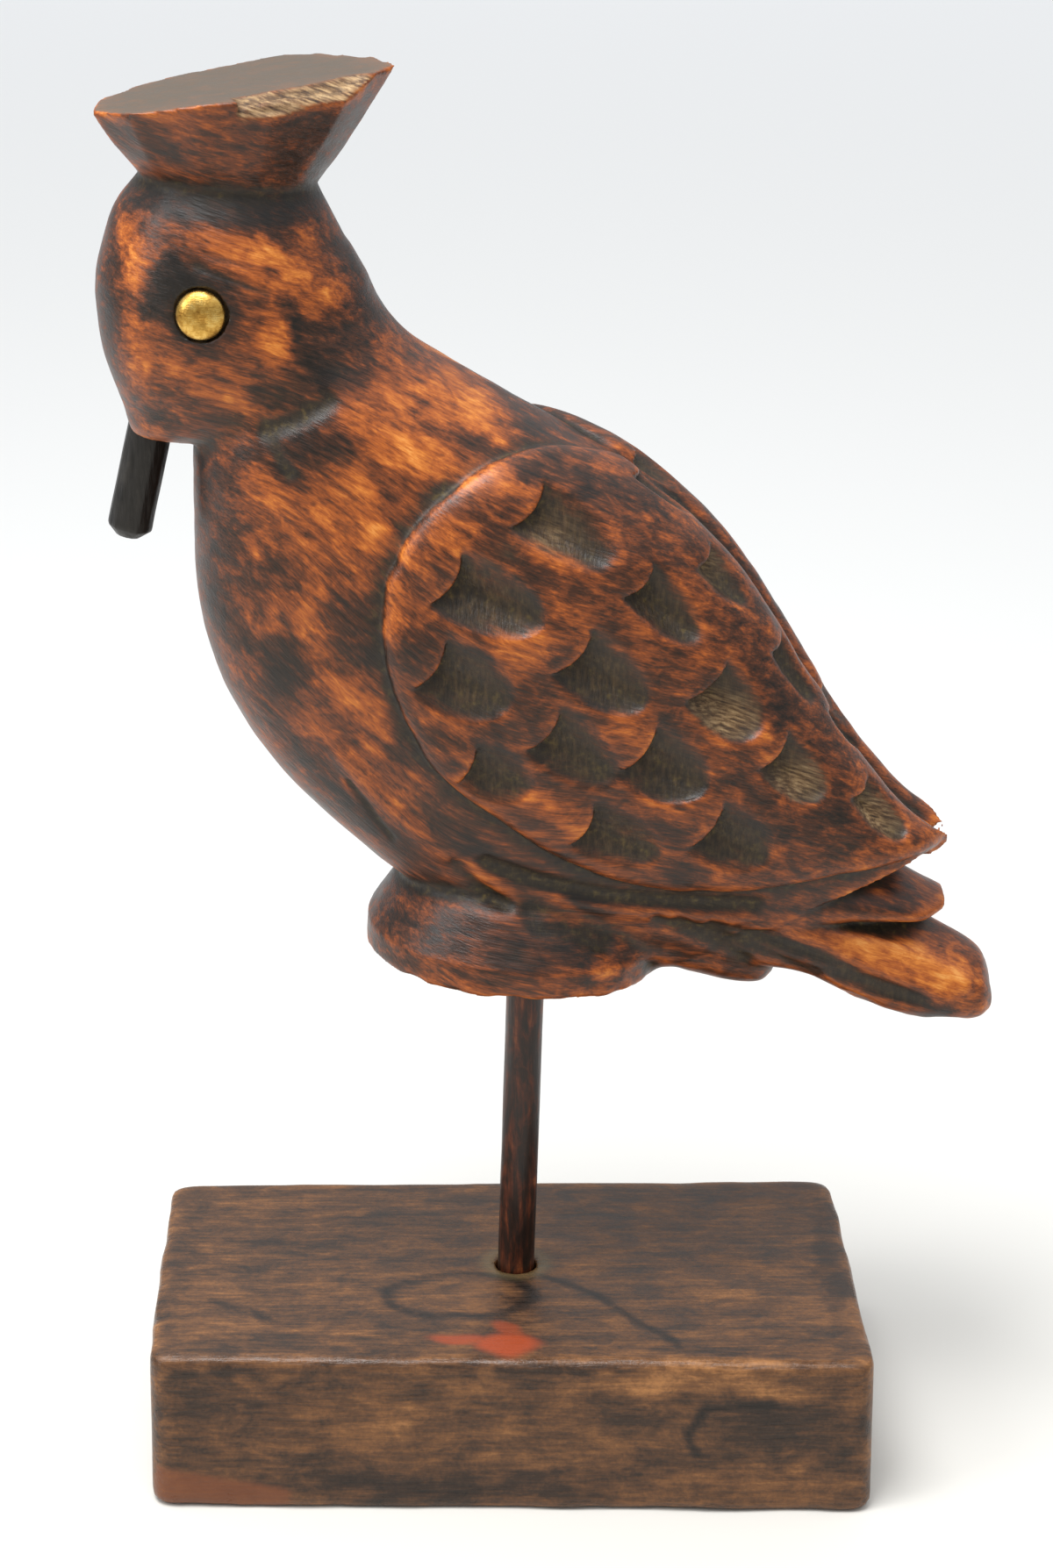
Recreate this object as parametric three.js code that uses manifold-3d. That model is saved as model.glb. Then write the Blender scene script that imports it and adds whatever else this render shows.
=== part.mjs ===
// Carved wooden bird on a rod and a wooden block, in millimetres.
// X runs from the bird's breast to its tail, Z is up, and Y is 0 on the bird's middle plane.
// The origin is on the underside of the block, straight below the foot of the rod.
import * as THREE from 'three';
import { mergeVertices } from 'three/addons/utils/BufferGeometryUtils.js';
import Module from 'manifold-3d';

const wasm = await Module();
wasm.setup();

// Block: its hewn plan corners, its thickness, and how far the front leans out towards its foot
const BLOCK_PLAN = [[-60.2, -32.8], [58.8, -34.6], [56.6, 31.6], [-61.8, 29.6]];
const BLOCK_HEIGHT = 25.8;
const BLOCK_FRONT_LEAN = 4;
const BLOCK_EDGE_ROUND = 1;
const BLOCK_CORNER_ROUND = 3;
const BLOCK_WAVE = 0.35;
const BLOCK_WAVE_STEPS = 6;
const BLOCK_WAVE_TURN = 2.3;
const BLOCK_CORNER_STEPS = 3;
const BLOCK_CHIP = { at: [-60, -36, 0], size: [20, 10, 9], turn: 0.35 };

// Rod and beak peg, and the gap that each keeps to the wood around it
const FIT_GAP = 0.3;
const ROD_RADIUS = 3.2;
const ROD_IN_BLOCK = 12;
const ROD_TOP_Z = 96;
const ROD_LEAN = 0.031;
const PEG_RADIUS = 3.6;
const PEG_CHAMFER = 1.5;
const PEG_SIDES = 12;
const PIN_SIDES = 20;
const PEG_TOP = new THREE.Vector3(-55.5, 0, 179.6);
const PEG_TIP = new THREE.Vector3(-61.2, 0, 155.7);

// Eye tacks: a brass dome whose back sits below the surface of the head
const TACK_RADIUS = 3.8;
const TACK_DOME = 2.1;
const TACK_DEPTH = 0.8;
const TACK_RIM = 0.3;
const TACK_STEPS = 4;
const EYE_PLACE = [-47.0, 195.2];

// Sections of the bird's masses, each a row of
// low x, low z, high x, high z, half width, share of the way up where it is widest,
// and the squareness of the lower and the upper half, where 2 is round.
const BODY_ROWS = [
  [-47.0, 191.0, -26.0, 201.0, 13.4, 0.5, 2.1, 2.1],
  [-48.8, 183.0, -21.4, 193.4, 16.0, 0.5, 2.2, 2.2],
  [-50.0, 174.5, -16.2, 187.3, 18.0, 0.5, 2.3, 2.3],
  [-50.4, 166.5, -9.4, 183.0, 19.8, 0.5, 2.3, 2.3],
  [-50.5, 157.5, -0.4, 177.6, 20.8, 0.5, 2.3, 2.4],
  [-50.4, 148.5, 8.3, 172.5, 21.6, 0.5, 2.3, 2.5],
  [-48.9, 139.5, 17.2, 167.1, 22.0, 0.5, 2.4, 2.7],
  [-46.0, 131.0, 25.2, 160.7, 22.2, 0.5, 2.4, 2.8],
  [-41.6, 123.0, 32.5, 153.1, 21.8, 0.5, 2.4, 2.8],
  [-35.8, 115.6, 38.9, 144.1, 21.2, 0.5, 2.5, 2.8],
  [-28.6, 108.4, 44.8, 134.3, 20.2, 0.5, 2.6, 2.8],
  [-20.0, 101.0, 50.6, 124.7, 19.2, 0.5, 2.7, 2.8],
  [-10.0, 94.6, 56.4, 116.7, 17.8, 0.5, 2.8, 2.8],
  [2.0, 89.4, 61.6, 110.6, 16.0, 0.5, 2.8, 2.8],
  [15.0, 86.0, 66.6, 106.7, 13.8, 0.5, 2.8, 2.8],
  [30.0, 85.4, 70.8, 104.0, 11.4, 0.5, 2.6, 2.6],
  [48.0, 90.0, 74.0, 102.2, 8.8, 0.5, 2.4, 2.4],
];
const BODY_END = 0.885;

const HEAD_ROWS = [
  [-55.6, 217.0, -31.4, 215.6, 12.2, 0.5, 2.2, 2.2],
  [-57.2, 213.6, -30.4, 211.9, 12.8, 0.5, 2.2, 2.2],
  [-61.0, 209.0, -27.8, 206.4, 15.2, 0.5, 2.2, 2.2],
  [-62.9, 204.0, -25.3, 201.4, 16.8, 0.5, 2.2, 2.2],
  [-64.3, 198.2, -22.8, 196.8, 17.8, 0.5, 2.2, 2.2],
  [-64.4, 192.6, -21.6, 192.0, 18.2, 0.5, 2.2, 2.2],
  [-63.8, 187.0, -20.0, 188.0, 18.0, 0.5, 2.2, 2.2],
  [-62.4, 181.8, -20.6, 183.6, 17.2, 0.5, 2.2, 2.2],
  [-61.0, 177.6, -24.0, 179.2, 15.6, 0.5, 2.2, 2.2],
  [-60.2, 174.8, -30.0, 175.6, 13.2, 0.5, 2.4, 2.3],
  [-59.6, 173.6, -36.0, 173.4, 10.6, 0.5, 2.6, 2.4],
];

const TAIL_ROWS = [
  [20.0, 88.0, 20.0, 104.0, 12.5, 0.55, 3.0, 2.0],
  [34.0, 84.6, 34.0, 102.0, 12.2, 0.5, 3.0, 2.0],
  [46.0, 83.2, 47.0, 98.0, 11.8, 0.48, 3.2, 1.9],
  [56.0, 78.4, 58.0, 94.6, 11.4, 0.46, 3.4, 1.8],
  [64.0, 75.4, 66.0, 91.0, 11.0, 0.42, 3.4, 1.8],
  [70.5, 74.6, 72.0, 87.6, 10.2, 0.4, 3.2, 1.8],
  [75.8, 74.0, 76.6, 84.0, 8.4, 0.42, 3.0, 1.9],
  [78.2, 74.8, 78.5, 79.6, 5.2, 0.45, 2.6, 2.0],
];

const PRIMARY_ROWS = [
  [-6.0, 97.0, 4.0, 110.0, 16.5, 0.5, 2.2, 2.2],
  [8.0, 93.4, 14.0, 108.0, 16.4, 0.5, 2.4, 2.2],
  [22.0, 92.0, 26.0, 107.0, 15.2, 0.45, 2.6, 2.2],
  [36.0, 91.8, 40.0, 105.0, 13.6, 0.4, 2.8, 2.0],
  [50.0, 92.0, 53.0, 102.6, 11.8, 0.35, 2.8, 1.9],
  [60.0, 92.0, 62.0, 99.4, 10.0, 0.32, 2.8, 1.8],
  [66.0, 91.8, 67.4, 96.2, 8.0, 0.34, 2.6, 1.9],
  [69.4, 92.6, 70.4, 94.8, 4.6, 0.45, 2.2, 2.0],
];

const VENT_ROWS = [
  [8.0, 87.4, 8.0, 97.0, 12.0, 0.6, 2.4, 2.2],
  [20.0, 84.2, 20.0, 95.0, 11.6, 0.6, 2.4, 2.2],
  [28.0, 82.5, 29.0, 93.0, 10.8, 0.6, 2.4, 2.2],
  [34.0, 80.7, 35.0, 91.0, 9.8, 0.6, 2.4, 2.2],
  [39.6, 79.9, 40.4, 88.0, 8.0, 0.6, 2.3, 2.2],
  [42.2, 81.4, 42.4, 86.0, 5.0, 0.5, 2.2, 2.2],
];

// Wing shields: side-view outline from the front edge over the top to the tip and back below
const WING_OUTLINE = [
  [-20.0, 149.5], [-18.8, 156.5], [-16.0, 162.0], [-11.0, 167.5], [-3.5, 171.9], [4.5, 172.7],
  [15.5, 169.2], [26.0, 162.0], [39.6, 144.5], [51.4, 125.2], [63.6, 110.6], [71.8, 105.6],
  [69.5, 104.8], [60.5, 104.2], [52.0, 103.6], [43.5, 102.4], [35.0, 101.7], [24.0, 102.3],
  [15.5, 104.4], [7.0, 108.5], [-1.0, 114.0], [-9.0, 120.2], [-14.6, 127.7], [-18.5, 136.7],
];
const WING_CENTRE = [18, 134];
const WING_RAISE = 2.5;
const WING_SINK = 4.5;
const WING_TOP_GAP = 3.2;
const WING_RING_CROWDING = 1.8;
const WING_FLATNESS = 14;
const WING_EDGE_ROUND = 0.4;
const NEAR_WING_FACETS = 46;
const FAR_WING_FACETS = 34;

// Feather cuts in each wing, as x, z, length, width and slope in degrees below level.
// The scoop is an ellipsoid sized by shares of that length and width, set a little way
// behind the cut's start and tipped to dive under the tip of the feather before it.
const FEATHER_CUTS = [
  [-11.0, 156.5, 18, 10.5, 28], [-13.5, 143.0, 15.5, 11.5, 30], [-8.0, 126.0, 12, 9.5, 22],
  [1.0, 166.5, 18, 11, 38], [17.0, 167.0, 14.5, 8.5, 38], [18.0, 154.5, 15, 8, 45],
  [8.5, 144.5, 15.5, 10, 40], [27.5, 155.5, 12.5, 8, 44], [4.0, 132.0, 15.5, 9.5, 37],
  [29.0, 138.5, 13.5, 10.5, 48], [18.5, 128.5, 14, 11, 37], [39.0, 141.0, 13, 6.5, 49],
  [39.5, 126.0, 12.5, 9, 42], [48.0, 128.5, 9.5, 7, 48], [10.0, 115.5, 14.5, 9, 26],
  [29.5, 115.0, 13, 10.5, 33], [53.0, 117.0, 12.5, 7, 46],
];
const CUT_DEPTH_SHARE = 0.2;
const CUT_LENGTH_SHARE = 0.7;
const CUT_WIDTH_SHARE = 0.54;
const CUT_START_SHARE = 0.3;
const CUT_DIVE = 0.06;
const FEATHER_TIP_SAG = 0.16;
const FAR_CUT_STRAY = 0.8;
const NEAR_CUT_FACETS = 10;
const FAR_CUT_FACETS = 6;

// Hollows along the lobes of the tail end, as from x, from z, to x, to z, y and radius
const COVES = [
  [46, 86.6, 76, 75.6, -12.6, 2.6],
  [34, 94.0, 68, 93.0, -15.0, 2.4],
];

// Cap on the head: corners of its hewn rim in plan, the tilt of its top, and the chip in its rim
const CAP_RIM = [
  [-17.9, -4.0], [-21.4, 6.5], [-30.0, 16.0], [-37.0, 18.8], [-46.0, 15.0], [-56.0, 6.5],
  [-61.8, -3.0], [-62.4, -14.0], [-56.5, -19.2], [-46.0, -20.6], [-34.5, -19.6], [-23.5, -14.0],
];
const CAP_MIDDLE = [-41, 0];
const CAP_TOP_Z = 227.4;
const CAP_TOP_SLOPE = 0.115;
const CAP_SIDE_SWELL = 0.025;
const CAP_CHIP = {
  corner: [-28.0, -18.0, 224.2],
  behind: [-36.5, -15.5, 228.0],
  ahead: [-20.0, -9.5, 229.8],
};
const CAP_CHIP_SIZE = [26, 20, 12];
const CAP_WAIST = { x: -43.5, z: 212.4, slope: -0.06, halfLength: 13.3, halfWidth: 12.6 };

// Collar under the belly, with its rim tilted down towards the tail
const COLLAR_PROFILE = [[0, 23.6], [0.8, 24.3], [4.6, 24.3], [11.8, 20.0], [18, 14]];
const COLLAR_CENTRE = [-0.5, 0, 85.2];
const COLLAR_SIDE_SHARE = 0.93;
const COLLAR_SQUARENESS = 0.93;
const COLLAR_TILT = Math.atan(0.086);

// Solids from geometry, and back

function closedSolid(geometry) {
  geometry.deleteAttribute('normal');
  geometry.deleteAttribute('uv');
  const merged = mergeVertices(geometry, 1e-4);
  const corners = Array.from(merged.index.array);
  const triangles = [];
  for (let i = 0; i < corners.length; i += 3) {
    const [a, b, c] = corners.slice(i, i + 3);
    if (a !== b && b !== c && c !== a) triangles.push(a, b, c);
  }
  const places = merged.attributes.position.array;
  if (signedVolume(places, triangles) < 0) {
    for (let i = 0; i < triangles.length; i += 3) {
      [triangles[i + 1], triangles[i + 2]] = [triangles[i + 2], triangles[i + 1]];
    }
  }
  return new wasm.Manifold(new wasm.Mesh({
    numProp: 3,
    vertProperties: new Float32Array(places),
    triVerts: new Uint32Array(triangles),
  }));
}

function signedVolume(places, triangles) {
  const corner = (index) => new THREE.Vector3().fromArray(places, 3 * index);
  let total = 0;
  for (let i = 0; i < triangles.length; i += 3) {
    const [a, b, c] = [0, 1, 2].map((k) => corner(triangles[i + k]));
    total += a.dot(b.cross(c)) / 6;
  }
  return total;
}

function drawnGeometry(solid) {
  const { vertProperties, triVerts } = solid.getMesh();
  const geometry = new THREE.BufferGeometry();
  geometry.setAttribute('position', new THREE.BufferAttribute(new Float32Array(vertProperties), 3));
  geometry.setIndex(new THREE.BufferAttribute(new Uint32Array(triVerts), 1));
  geometry.computeVertexNormals();
  return geometry;
}

// A closed geometry with every corner moved to where place() puts it
function reshaped(geometry, place) {
  const position = geometry.attributes.position;
  const from = new THREE.Vector3();
  for (let i = 0; i < position.count; i += 1) {
    from.fromBufferAttribute(position, i);
    position.setXYZ(i, ...place(from).toArray());
  }
  return geometry;
}

// Lofted masses

const HALVINGS = 40;

const signedPower = (value, power) => Math.sign(value) * Math.abs(value) ** power;

function makeForm(rows) {
  const through = (pick) => new THREE.CatmullRomCurve3(
    rows.map((row) => new THREE.Vector3(...pick(row))), false, 'catmullrom', 0.5);
  const low = through((row) => [row[0], 0, row[1]]);
  const high = through((row) => [row[2], 0, row[3]]);
  const build = through((row) => [row[4], row[5], 0]);
  const square = through((row) => [row[6], row[7], 0]);
  const section = (place) => {
    const along = THREE.MathUtils.clamp(place, 0, 1);
    const { x: width, y: widest } = build.getPoint(along);
    const { x: below, y: above } = square.getPoint(along);
    return { low: low.getPoint(along), high: high.getPoint(along), width, widest, below, above };
  };
  // turn is 0 at the high edge, a quarter turn at the widest place on the -Y side
  const point = (along, turn, spread = 1) => {
    const { low: foot, high: head, width, widest, below, above } = section(along);
    const upper = Math.cos(turn) >= 0;
    const power = 2 / (upper ? above : below);
    const rise = spread * signedPower(Math.cos(turn), power) * (upper ? 1 - widest : widest);
    const side = spread * signedPower(Math.sin(turn), power);
    const middle = foot.clone().lerp(head, widest);
    return middle.add(head.clone().sub(foot).multiplyScalar(rise)).setY(-width * side);
  };
  return { section, point };
}

function loft(form, { sides, rings, from = 0, to = 1 }) {
  const tube = new THREE.CylinderGeometry(1, 1, 1, sides, rings);
  return closedSolid(reshaped(tube, ({ x, y, z }) => {
    const along = THREE.MathUtils.lerp(from, to, y + 0.5);
    return form.point(along, Math.atan2(x, z), Math.hypot(x, z));
  }));
}

// Where the side-view point (x, z) lies on a form, as its place along and its turn.
// The turn never comes nearer to the ridge than the wings do.
function findOnForm(form, x, z) {
  const side = (along) => {
    const { low, high } = form.section(along);
    return (high.x - low.x) * (z - low.z) - (high.z - low.z) * (x - low.x);
  };
  let [near, far] = [0, 1];
  for (let step = 0; step < HALVINGS; step += 1) {
    const half = (near + far) / 2;
    if (side(half) < 0) near = half;
    else far = half;
  }
  const { low, high, width, widest, below, above } = form.section(near);
  const span = high.clone().sub(low);
  const share = new THREE.Vector3(x, 0, z).sub(low).dot(span) / span.lengthSq();
  const rise = share >= widest ? (share - widest) / (1 - widest) : (share - widest) / widest;
  const power = (rise >= 0 ? above : below) / 2;
  const topTurn = Math.asin((WING_TOP_GAP / width) ** (above / 2));
  const turn = Math.acos(THREE.MathUtils.clamp(signedPower(rise, power), -1, 1));
  return new THREE.Vector2(near, Math.max(turn, topTurn));
}

function outwardAt(form, along, turn) {
  const step = 1e-3;
  const here = THREE.MathUtils.clamp(along, step, 1 - step);
  const lengthwise = form.point(here + step, turn).sub(form.point(here - step, turn));
  const around = form.point(here, turn + step).sub(form.point(here, turn - step));
  return around.cross(lengthwise).normalize();
}

// Bird

const bodyForm = makeForm(BODY_ROWS);
const headForm = makeForm(HEAD_ROWS);

// A frame on a form's surface at the side-view point (x, z), raised off it: its X runs tailwards
// and down by the slope, its Z straight out of the surface
function placedOn(form, [x, z], slope, raise) {
  const { x: along, y: turn } = findOnForm(form, x, z);
  const outward = outwardAt(form, along, turn);
  const place = form.point(along, turn).addScaledVector(outward, raise);
  const down = THREE.MathUtils.degToRad(slope);
  const lengthwise = new THREE.Vector3(Math.cos(down), 0, -Math.sin(down));
  lengthwise.addScaledVector(outward, -lengthwise.dot(outward)).normalize();
  const across = outward.clone().cross(lengthwise);
  return new THREE.Matrix4().makeBasis(lengthwise, across, outward).setPosition(place);
}

function otherSide(solid) {
  return closedSolid(drawnGeometry(solid).scale(1, -1, 1));
}

function makeWing(facets) {
  const ring = new THREE.CatmullRomCurve3(WING_OUTLINE.map(([x, z]) => {
    const place = findOnForm(bodyForm, x, z);
    return new THREE.Vector3(place.x, place.y, 0);
  }), true, 'catmullrom', 0.5);
  const middle = findOnForm(bodyForm, ...WING_CENTRE);
  const pillow = new THREE.SphereGeometry(1, facets, 10);
  return closedSolid(reshaped(pillow, ({ x, y, z }) => {
    const edge = ring.getPoint((Math.atan2(z, x) / (2 * Math.PI) + 1) % 1);
    const inward = 1 - Math.atan2(Math.hypot(x, z), Math.abs(y)) / (Math.PI / 2);
    const reach = 1 - inward ** WING_RING_CROWDING;
    const fullness = Math.max(0, 1 - reach ** WING_FLATNESS) ** WING_EDGE_ROUND;
    const along = THREE.MathUtils.lerp(middle.x, edge.x, reach);
    const turn = THREE.MathUtils.lerp(middle.y, edge.y, reach);
    const height = fullness * (y >= 0 ? WING_RAISE : -WING_SINK);
    return bodyForm.point(along, turn).addScaledVector(outwardAt(bodyForm, along, turn), height);
  }));
}

// One gouge stroke that starts at the rounded tip of the feather before it
function makeFeatherCut([x, z, length, width, slope], facets) {
  const depth = CUT_DEPTH_SHARE * width;
  const stroke = new THREE.SphereGeometry(1, facets, 6).rotateX(Math.PI / 2);
  stroke.scale(CUT_LENGTH_SHARE * length, CUT_WIDTH_SHARE * width, depth);
  stroke.rotateY(CUT_DIVE);
  stroke.translate(CUT_START_SHARE * length, 0, 0);
  const sag = FEATHER_TIP_SAG * width;
  const tipRadius = (width * width / 4 + sag * sag) / (2 * sag);
  const throughCut = 6 * depth;
  const tip = new THREE.CylinderGeometry(tipRadius, tipRadius, throughCut, 16);
  tip.rotateX(Math.PI / 2);
  tip.translate(sag - tipRadius, 0, 0);
  const frame = placedOn(bodyForm, [x, z], slope, WING_RAISE);
  return closedSolid(stroke.applyMatrix4(frame)).subtract(closedSolid(tip.applyMatrix4(frame)));
}

// The far wing's strokes are cut by hand too, so none falls quite where its twin does
function strayed([x, z, length, width, slope], number) {
  const strayX = FAR_CUT_STRAY * Math.sin(5 * number);
  const strayZ = FAR_CUT_STRAY * Math.cos(3 * number);
  return [x + strayX, z + strayZ, length, width, slope];
}

function makeCap() {
  const corners = CAP_RIM.length;
  const drum = new THREE.CylinderGeometry(1, 1, 1, corners, 2);
  const [middleX, middleY] = CAP_MIDDLE;
  const cap = closedSolid(reshaped(drum, ({ x, y, z }) => {
    const number = Math.round(Math.atan2(x, z) / (2 * Math.PI) * corners + corners) % corners;
    const share = Math.hypot(x, z);
    const [rimX, rimY] = CAP_RIM[number];
    const topX = middleX + share * (rimX - middleX);
    const topZ = CAP_TOP_Z + CAP_TOP_SLOPE * (topX - middleX);
    const top = new THREE.Vector3(topX, middleY + share * (rimY - middleY), topZ);
    const facing = Math.atan2(rimY - middleY, rimX - middleX);
    const waistX = CAP_WAIST.halfLength * share * Math.cos(facing);
    const waistY = CAP_WAIST.halfWidth * share * Math.sin(facing);
    const waist = new THREE.Vector3(CAP_WAIST.x + waistX, waistY, CAP_WAIST.z + CAP_WAIST.slope * waistX);
    const swell = 4 * CAP_SIDE_SWELL * (0.25 - y * y) * share;
    const place = waist.lerp(top, y + 0.5);
    place.x += swell * (rimX - middleX);
    place.y += swell * (rimY - middleY);
    return place;
  }));
  return cap.subtract(makeCapChip());
}

// The split-off piece of the rim, as a box whose underside lies on the break
function makeCapChip() {
  const [corner, behind, ahead] = ['corner', 'behind', 'ahead']
    .map((name) => new THREE.Vector3(...CAP_CHIP[name]));
  const lengthwise = ahead.clone().sub(behind).normalize();
  const outward = lengthwise.clone().cross(corner.clone().sub(behind)).normalize();
  if (outward.y > 0) outward.negate();
  const across = outward.clone().cross(lengthwise);
  const [length, width, depth] = CAP_CHIP_SIZE;
  const box = new THREE.BoxGeometry(length, width, depth).translate(0, 0, depth / 2);
  const frame = new THREE.Matrix4().makeBasis(lengthwise, across, outward);
  const middle = corner.clone().add(behind).add(ahead).divideScalar(3);
  return closedSolid(box.applyMatrix4(frame.setPosition(middle)));
}

function makeCollar() {
  const steps = COLLAR_PROFILE.length - 1;
  const skirt = reshaped(new THREE.CylinderGeometry(1, 1, 1, 28, steps), ({ x, y, z }) => {
    const [height, radius] = COLLAR_PROFILE[Math.round((y + 0.5) * steps)];
    const acrossX = radius * signedPower(x, COLLAR_SQUARENESS);
    const acrossY = COLLAR_SIDE_SHARE * radius * signedPower(z, COLLAR_SQUARENESS);
    return new THREE.Vector3(acrossX, acrossY, height);
  });
  return closedSolid(skirt.rotateY(COLLAR_TILT).translate(...COLLAR_CENTRE));
}

// A hollow scooped along the underside of a lobe, from one point to another
function makeCove([fromX, fromZ, toX, toZ, y, radius]) {
  const [from, to] = [new THREE.Vector3(fromX, y, fromZ), new THREE.Vector3(toX, y, toZ)];
  const scoop = new THREE.SphereGeometry(1, 12, 8).rotateZ(Math.PI / 2);
  scoop.scale(from.distanceTo(to) / 2, radius, radius);
  scoop.rotateY(Math.atan2(fromZ - toZ, toX - fromX));
  return closedSolid(scoop.translate(...from.lerp(to, 0.5)));
}

// Rod, peg and the holes they stand in

const rodAt = (z) => new THREE.Vector3(ROD_LEAN * (z - BLOCK_HEIGHT), 0, z);

// A turned pin whose lower end has a chamfer
function makePin(foot, head, radius, chamfer, sides) {
  const length = head.distanceTo(foot);
  const outline = [[0, 0], [radius - chamfer, 0], [radius, chamfer], [radius, length], [0, length]];
  const pin = new THREE.LatheGeometry(outline.map((corner) => new THREE.Vector2(...corner)), sides);
  const upward = new THREE.Quaternion()
    .setFromUnitVectors(new THREE.Vector3(0, 1, 0), head.clone().sub(foot).normalize());
  return closedSolid(pin.applyQuaternion(upward).translate(...foot));
}

function makeHoleFor(foot, head, radius) {
  const beyond = head.clone().sub(foot).normalize().multiplyScalar(FIT_GAP);
  return makePin(foot.clone().sub(beyond), head.clone().add(beyond), radius + FIT_GAP, 0, PIN_SIDES);
}

const rodFoot = rodAt(BLOCK_HEIGHT - ROD_IN_BLOCK);
const rodHead = rodAt(ROD_TOP_Z);

// Eye tacks

const eyeSeat = placedOn(headForm, EYE_PLACE, 0, -TACK_DEPTH);

function makeTack() {
  const dome = [[0, 0]];
  for (let step = 0; step <= TACK_STEPS; step += 1) {
    const rise = (step / TACK_STEPS) * (Math.PI / 2);
    dome.push([TACK_RADIUS * Math.cos(rise), TACK_RIM + (TACK_DOME - TACK_RIM) * Math.sin(rise)]);
  }
  const corners = dome.map(([across, height]) => new THREE.Vector2(Math.max(across, 0), height));
  const tack = new THREE.LatheGeometry(corners, 16).rotateX(Math.PI / 2);
  return closedSolid(tack.applyMatrix4(eyeSeat));
}

function makeEyeSeat() {
  const height = TACK_DOME + 2;
  const bore = new THREE.CylinderGeometry(TACK_RADIUS + FIT_GAP, TACK_RADIUS + FIT_GAP, height, 20);
  bore.rotateX(Math.PI / 2).translate(0, 0, height / 2 - FIT_GAP);
  return closedSolid(bore.applyMatrix4(eyeSeat));
}

function makeBird() {
  const eye = makeEyeSeat();
  const masses = [
    loft(bodyForm, { sides: 24, rings: 17, to: BODY_END }),
    loft(headForm, { sides: 22, rings: 9 }),
    loft(makeForm(TAIL_ROWS), { sides: 16, rings: 9 }),
    loft(makeForm(PRIMARY_ROWS), { sides: 16, rings: 8 }),
    loft(makeForm(VENT_ROWS), { sides: 14, rings: 6 }),
    makeCap(),
    makeCollar(),
    makeWing(NEAR_WING_FACETS),
    otherSide(makeWing(FAR_WING_FACETS)),
  ];
  const hollows = [
    ...FEATHER_CUTS.map((cut) => makeFeatherCut(cut, NEAR_CUT_FACETS)),
    ...FEATHER_CUTS.map((cut, number) => otherSide(makeFeatherCut(strayed(cut, number), FAR_CUT_FACETS))),
    ...COVES.map(makeCove),
    ...COVES.map(makeCove).map(otherSide),
    makeHoleFor(rodAt(COLLAR_CENTRE[2] - ROD_IN_BLOCK), rodHead, ROD_RADIUS),
    makeHoleFor(PEG_TIP, PEG_TOP, PEG_RADIUS),
    eye,
    otherSide(eye),
  ];
  const whole = masses.reduce((all, mass) => all.add(mass));
  return hollows.reduce((all, hollow) => all.subtract(hollow), whole);
}

// Block

// Plan of the block, with rounded corners and edges that waver as a hewn edge does
function blockPlan() {
  const corners = BLOCK_PLAN.map(([x, y]) => new THREE.Vector2(x, y));
  const outline = [];
  corners.forEach((corner, number) => {
    const before = corners.at(number - 1).clone().sub(corner).normalize();
    const next = corners[(number + 1) % corners.length];
    const after = next.clone().sub(corner).normalize();
    const from = corner.clone().addScaledVector(before, BLOCK_CORNER_ROUND);
    const to = corner.clone().addScaledVector(after, BLOCK_CORNER_ROUND);
    const rounding = new THREE.QuadraticBezierCurve(from, corner, to);
    outline.push(...rounding.getPoints(BLOCK_CORNER_STEPS));
    const side = new THREE.Vector2(after.y, -after.x);
    const edgeEnd = next.clone().addScaledVector(after, -BLOCK_CORNER_ROUND);
    for (let step = 1; step < BLOCK_WAVE_STEPS; step += 1) {
      const waver = BLOCK_WAVE * Math.sin(BLOCK_WAVE_TURN * step + number);
      outline.push(to.clone().lerp(edgeEnd, step / BLOCK_WAVE_STEPS).addScaledVector(side, waver));
    }
  });
  return outline;
}

function makeBlock() {
  const slab = new THREE.ExtrudeGeometry(new THREE.Shape(blockPlan()), {
    depth: BLOCK_HEIGHT - 2 * BLOCK_EDGE_ROUND,
    bevelThickness: BLOCK_EDGE_ROUND,
    bevelSize: BLOCK_EDGE_ROUND,
    bevelOffset: -BLOCK_EDGE_ROUND,
    bevelSegments: 1,
  });
  slab.translate(0, 0, BLOCK_EDGE_ROUND);
  reshaped(slab, ({ x, y, z }) => {
    const lean = y < 0 ? BLOCK_FRONT_LEAN * (1 - z / BLOCK_HEIGHT) : 0;
    return new THREE.Vector3(x, y - lean, z);
  });
  const chip = new THREE.BoxGeometry(...BLOCK_CHIP.size).rotateY(BLOCK_CHIP.turn).rotateZ(-BLOCK_CHIP.turn);
  return closedSolid(slab)
    .subtract(closedSolid(chip.translate(...BLOCK_CHIP.at)))
    .subtract(makeHoleFor(rodFoot, rodHead, ROD_RADIUS));
}

// The finished group

const group = new THREE.Group();

function addPiece(name, solid, finish) {
  const mesh = new THREE.Mesh(drawnGeometry(solid), new THREE.MeshStandardMaterial(finish));
  mesh.name = name;
  group.add(mesh);
}

const wood = { color: 0x6b3418, roughness: 0.45 };
const blackened = { color: 0x17110e, roughness: 0.4 };
const brass = { color: 0xb8893a, roughness: 0.35, metalness: 1 };
const rodStain = { color: 0x4a2012, roughness: 0.45 };
const blockStain = { color: 0x3d241a, roughness: 0.6 };

addPiece('carved_bird', makeBird(), wood);
addPiece('beak_peg', makePin(PEG_TIP, PEG_TOP, PEG_RADIUS, PEG_CHAMFER, PEG_SIDES), blackened);
addPiece('left_eye_tack', makeTack(), brass);
addPiece('right_eye_tack', otherSide(makeTack()), brass);
addPiece('mounting_rod', makePin(rodFoot, rodHead, ROD_RADIUS, 0, PIN_SIDES), rodStain);
addPiece('plinth_block', makeBlock(), blockStain);

export default group;
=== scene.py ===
import math

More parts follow.
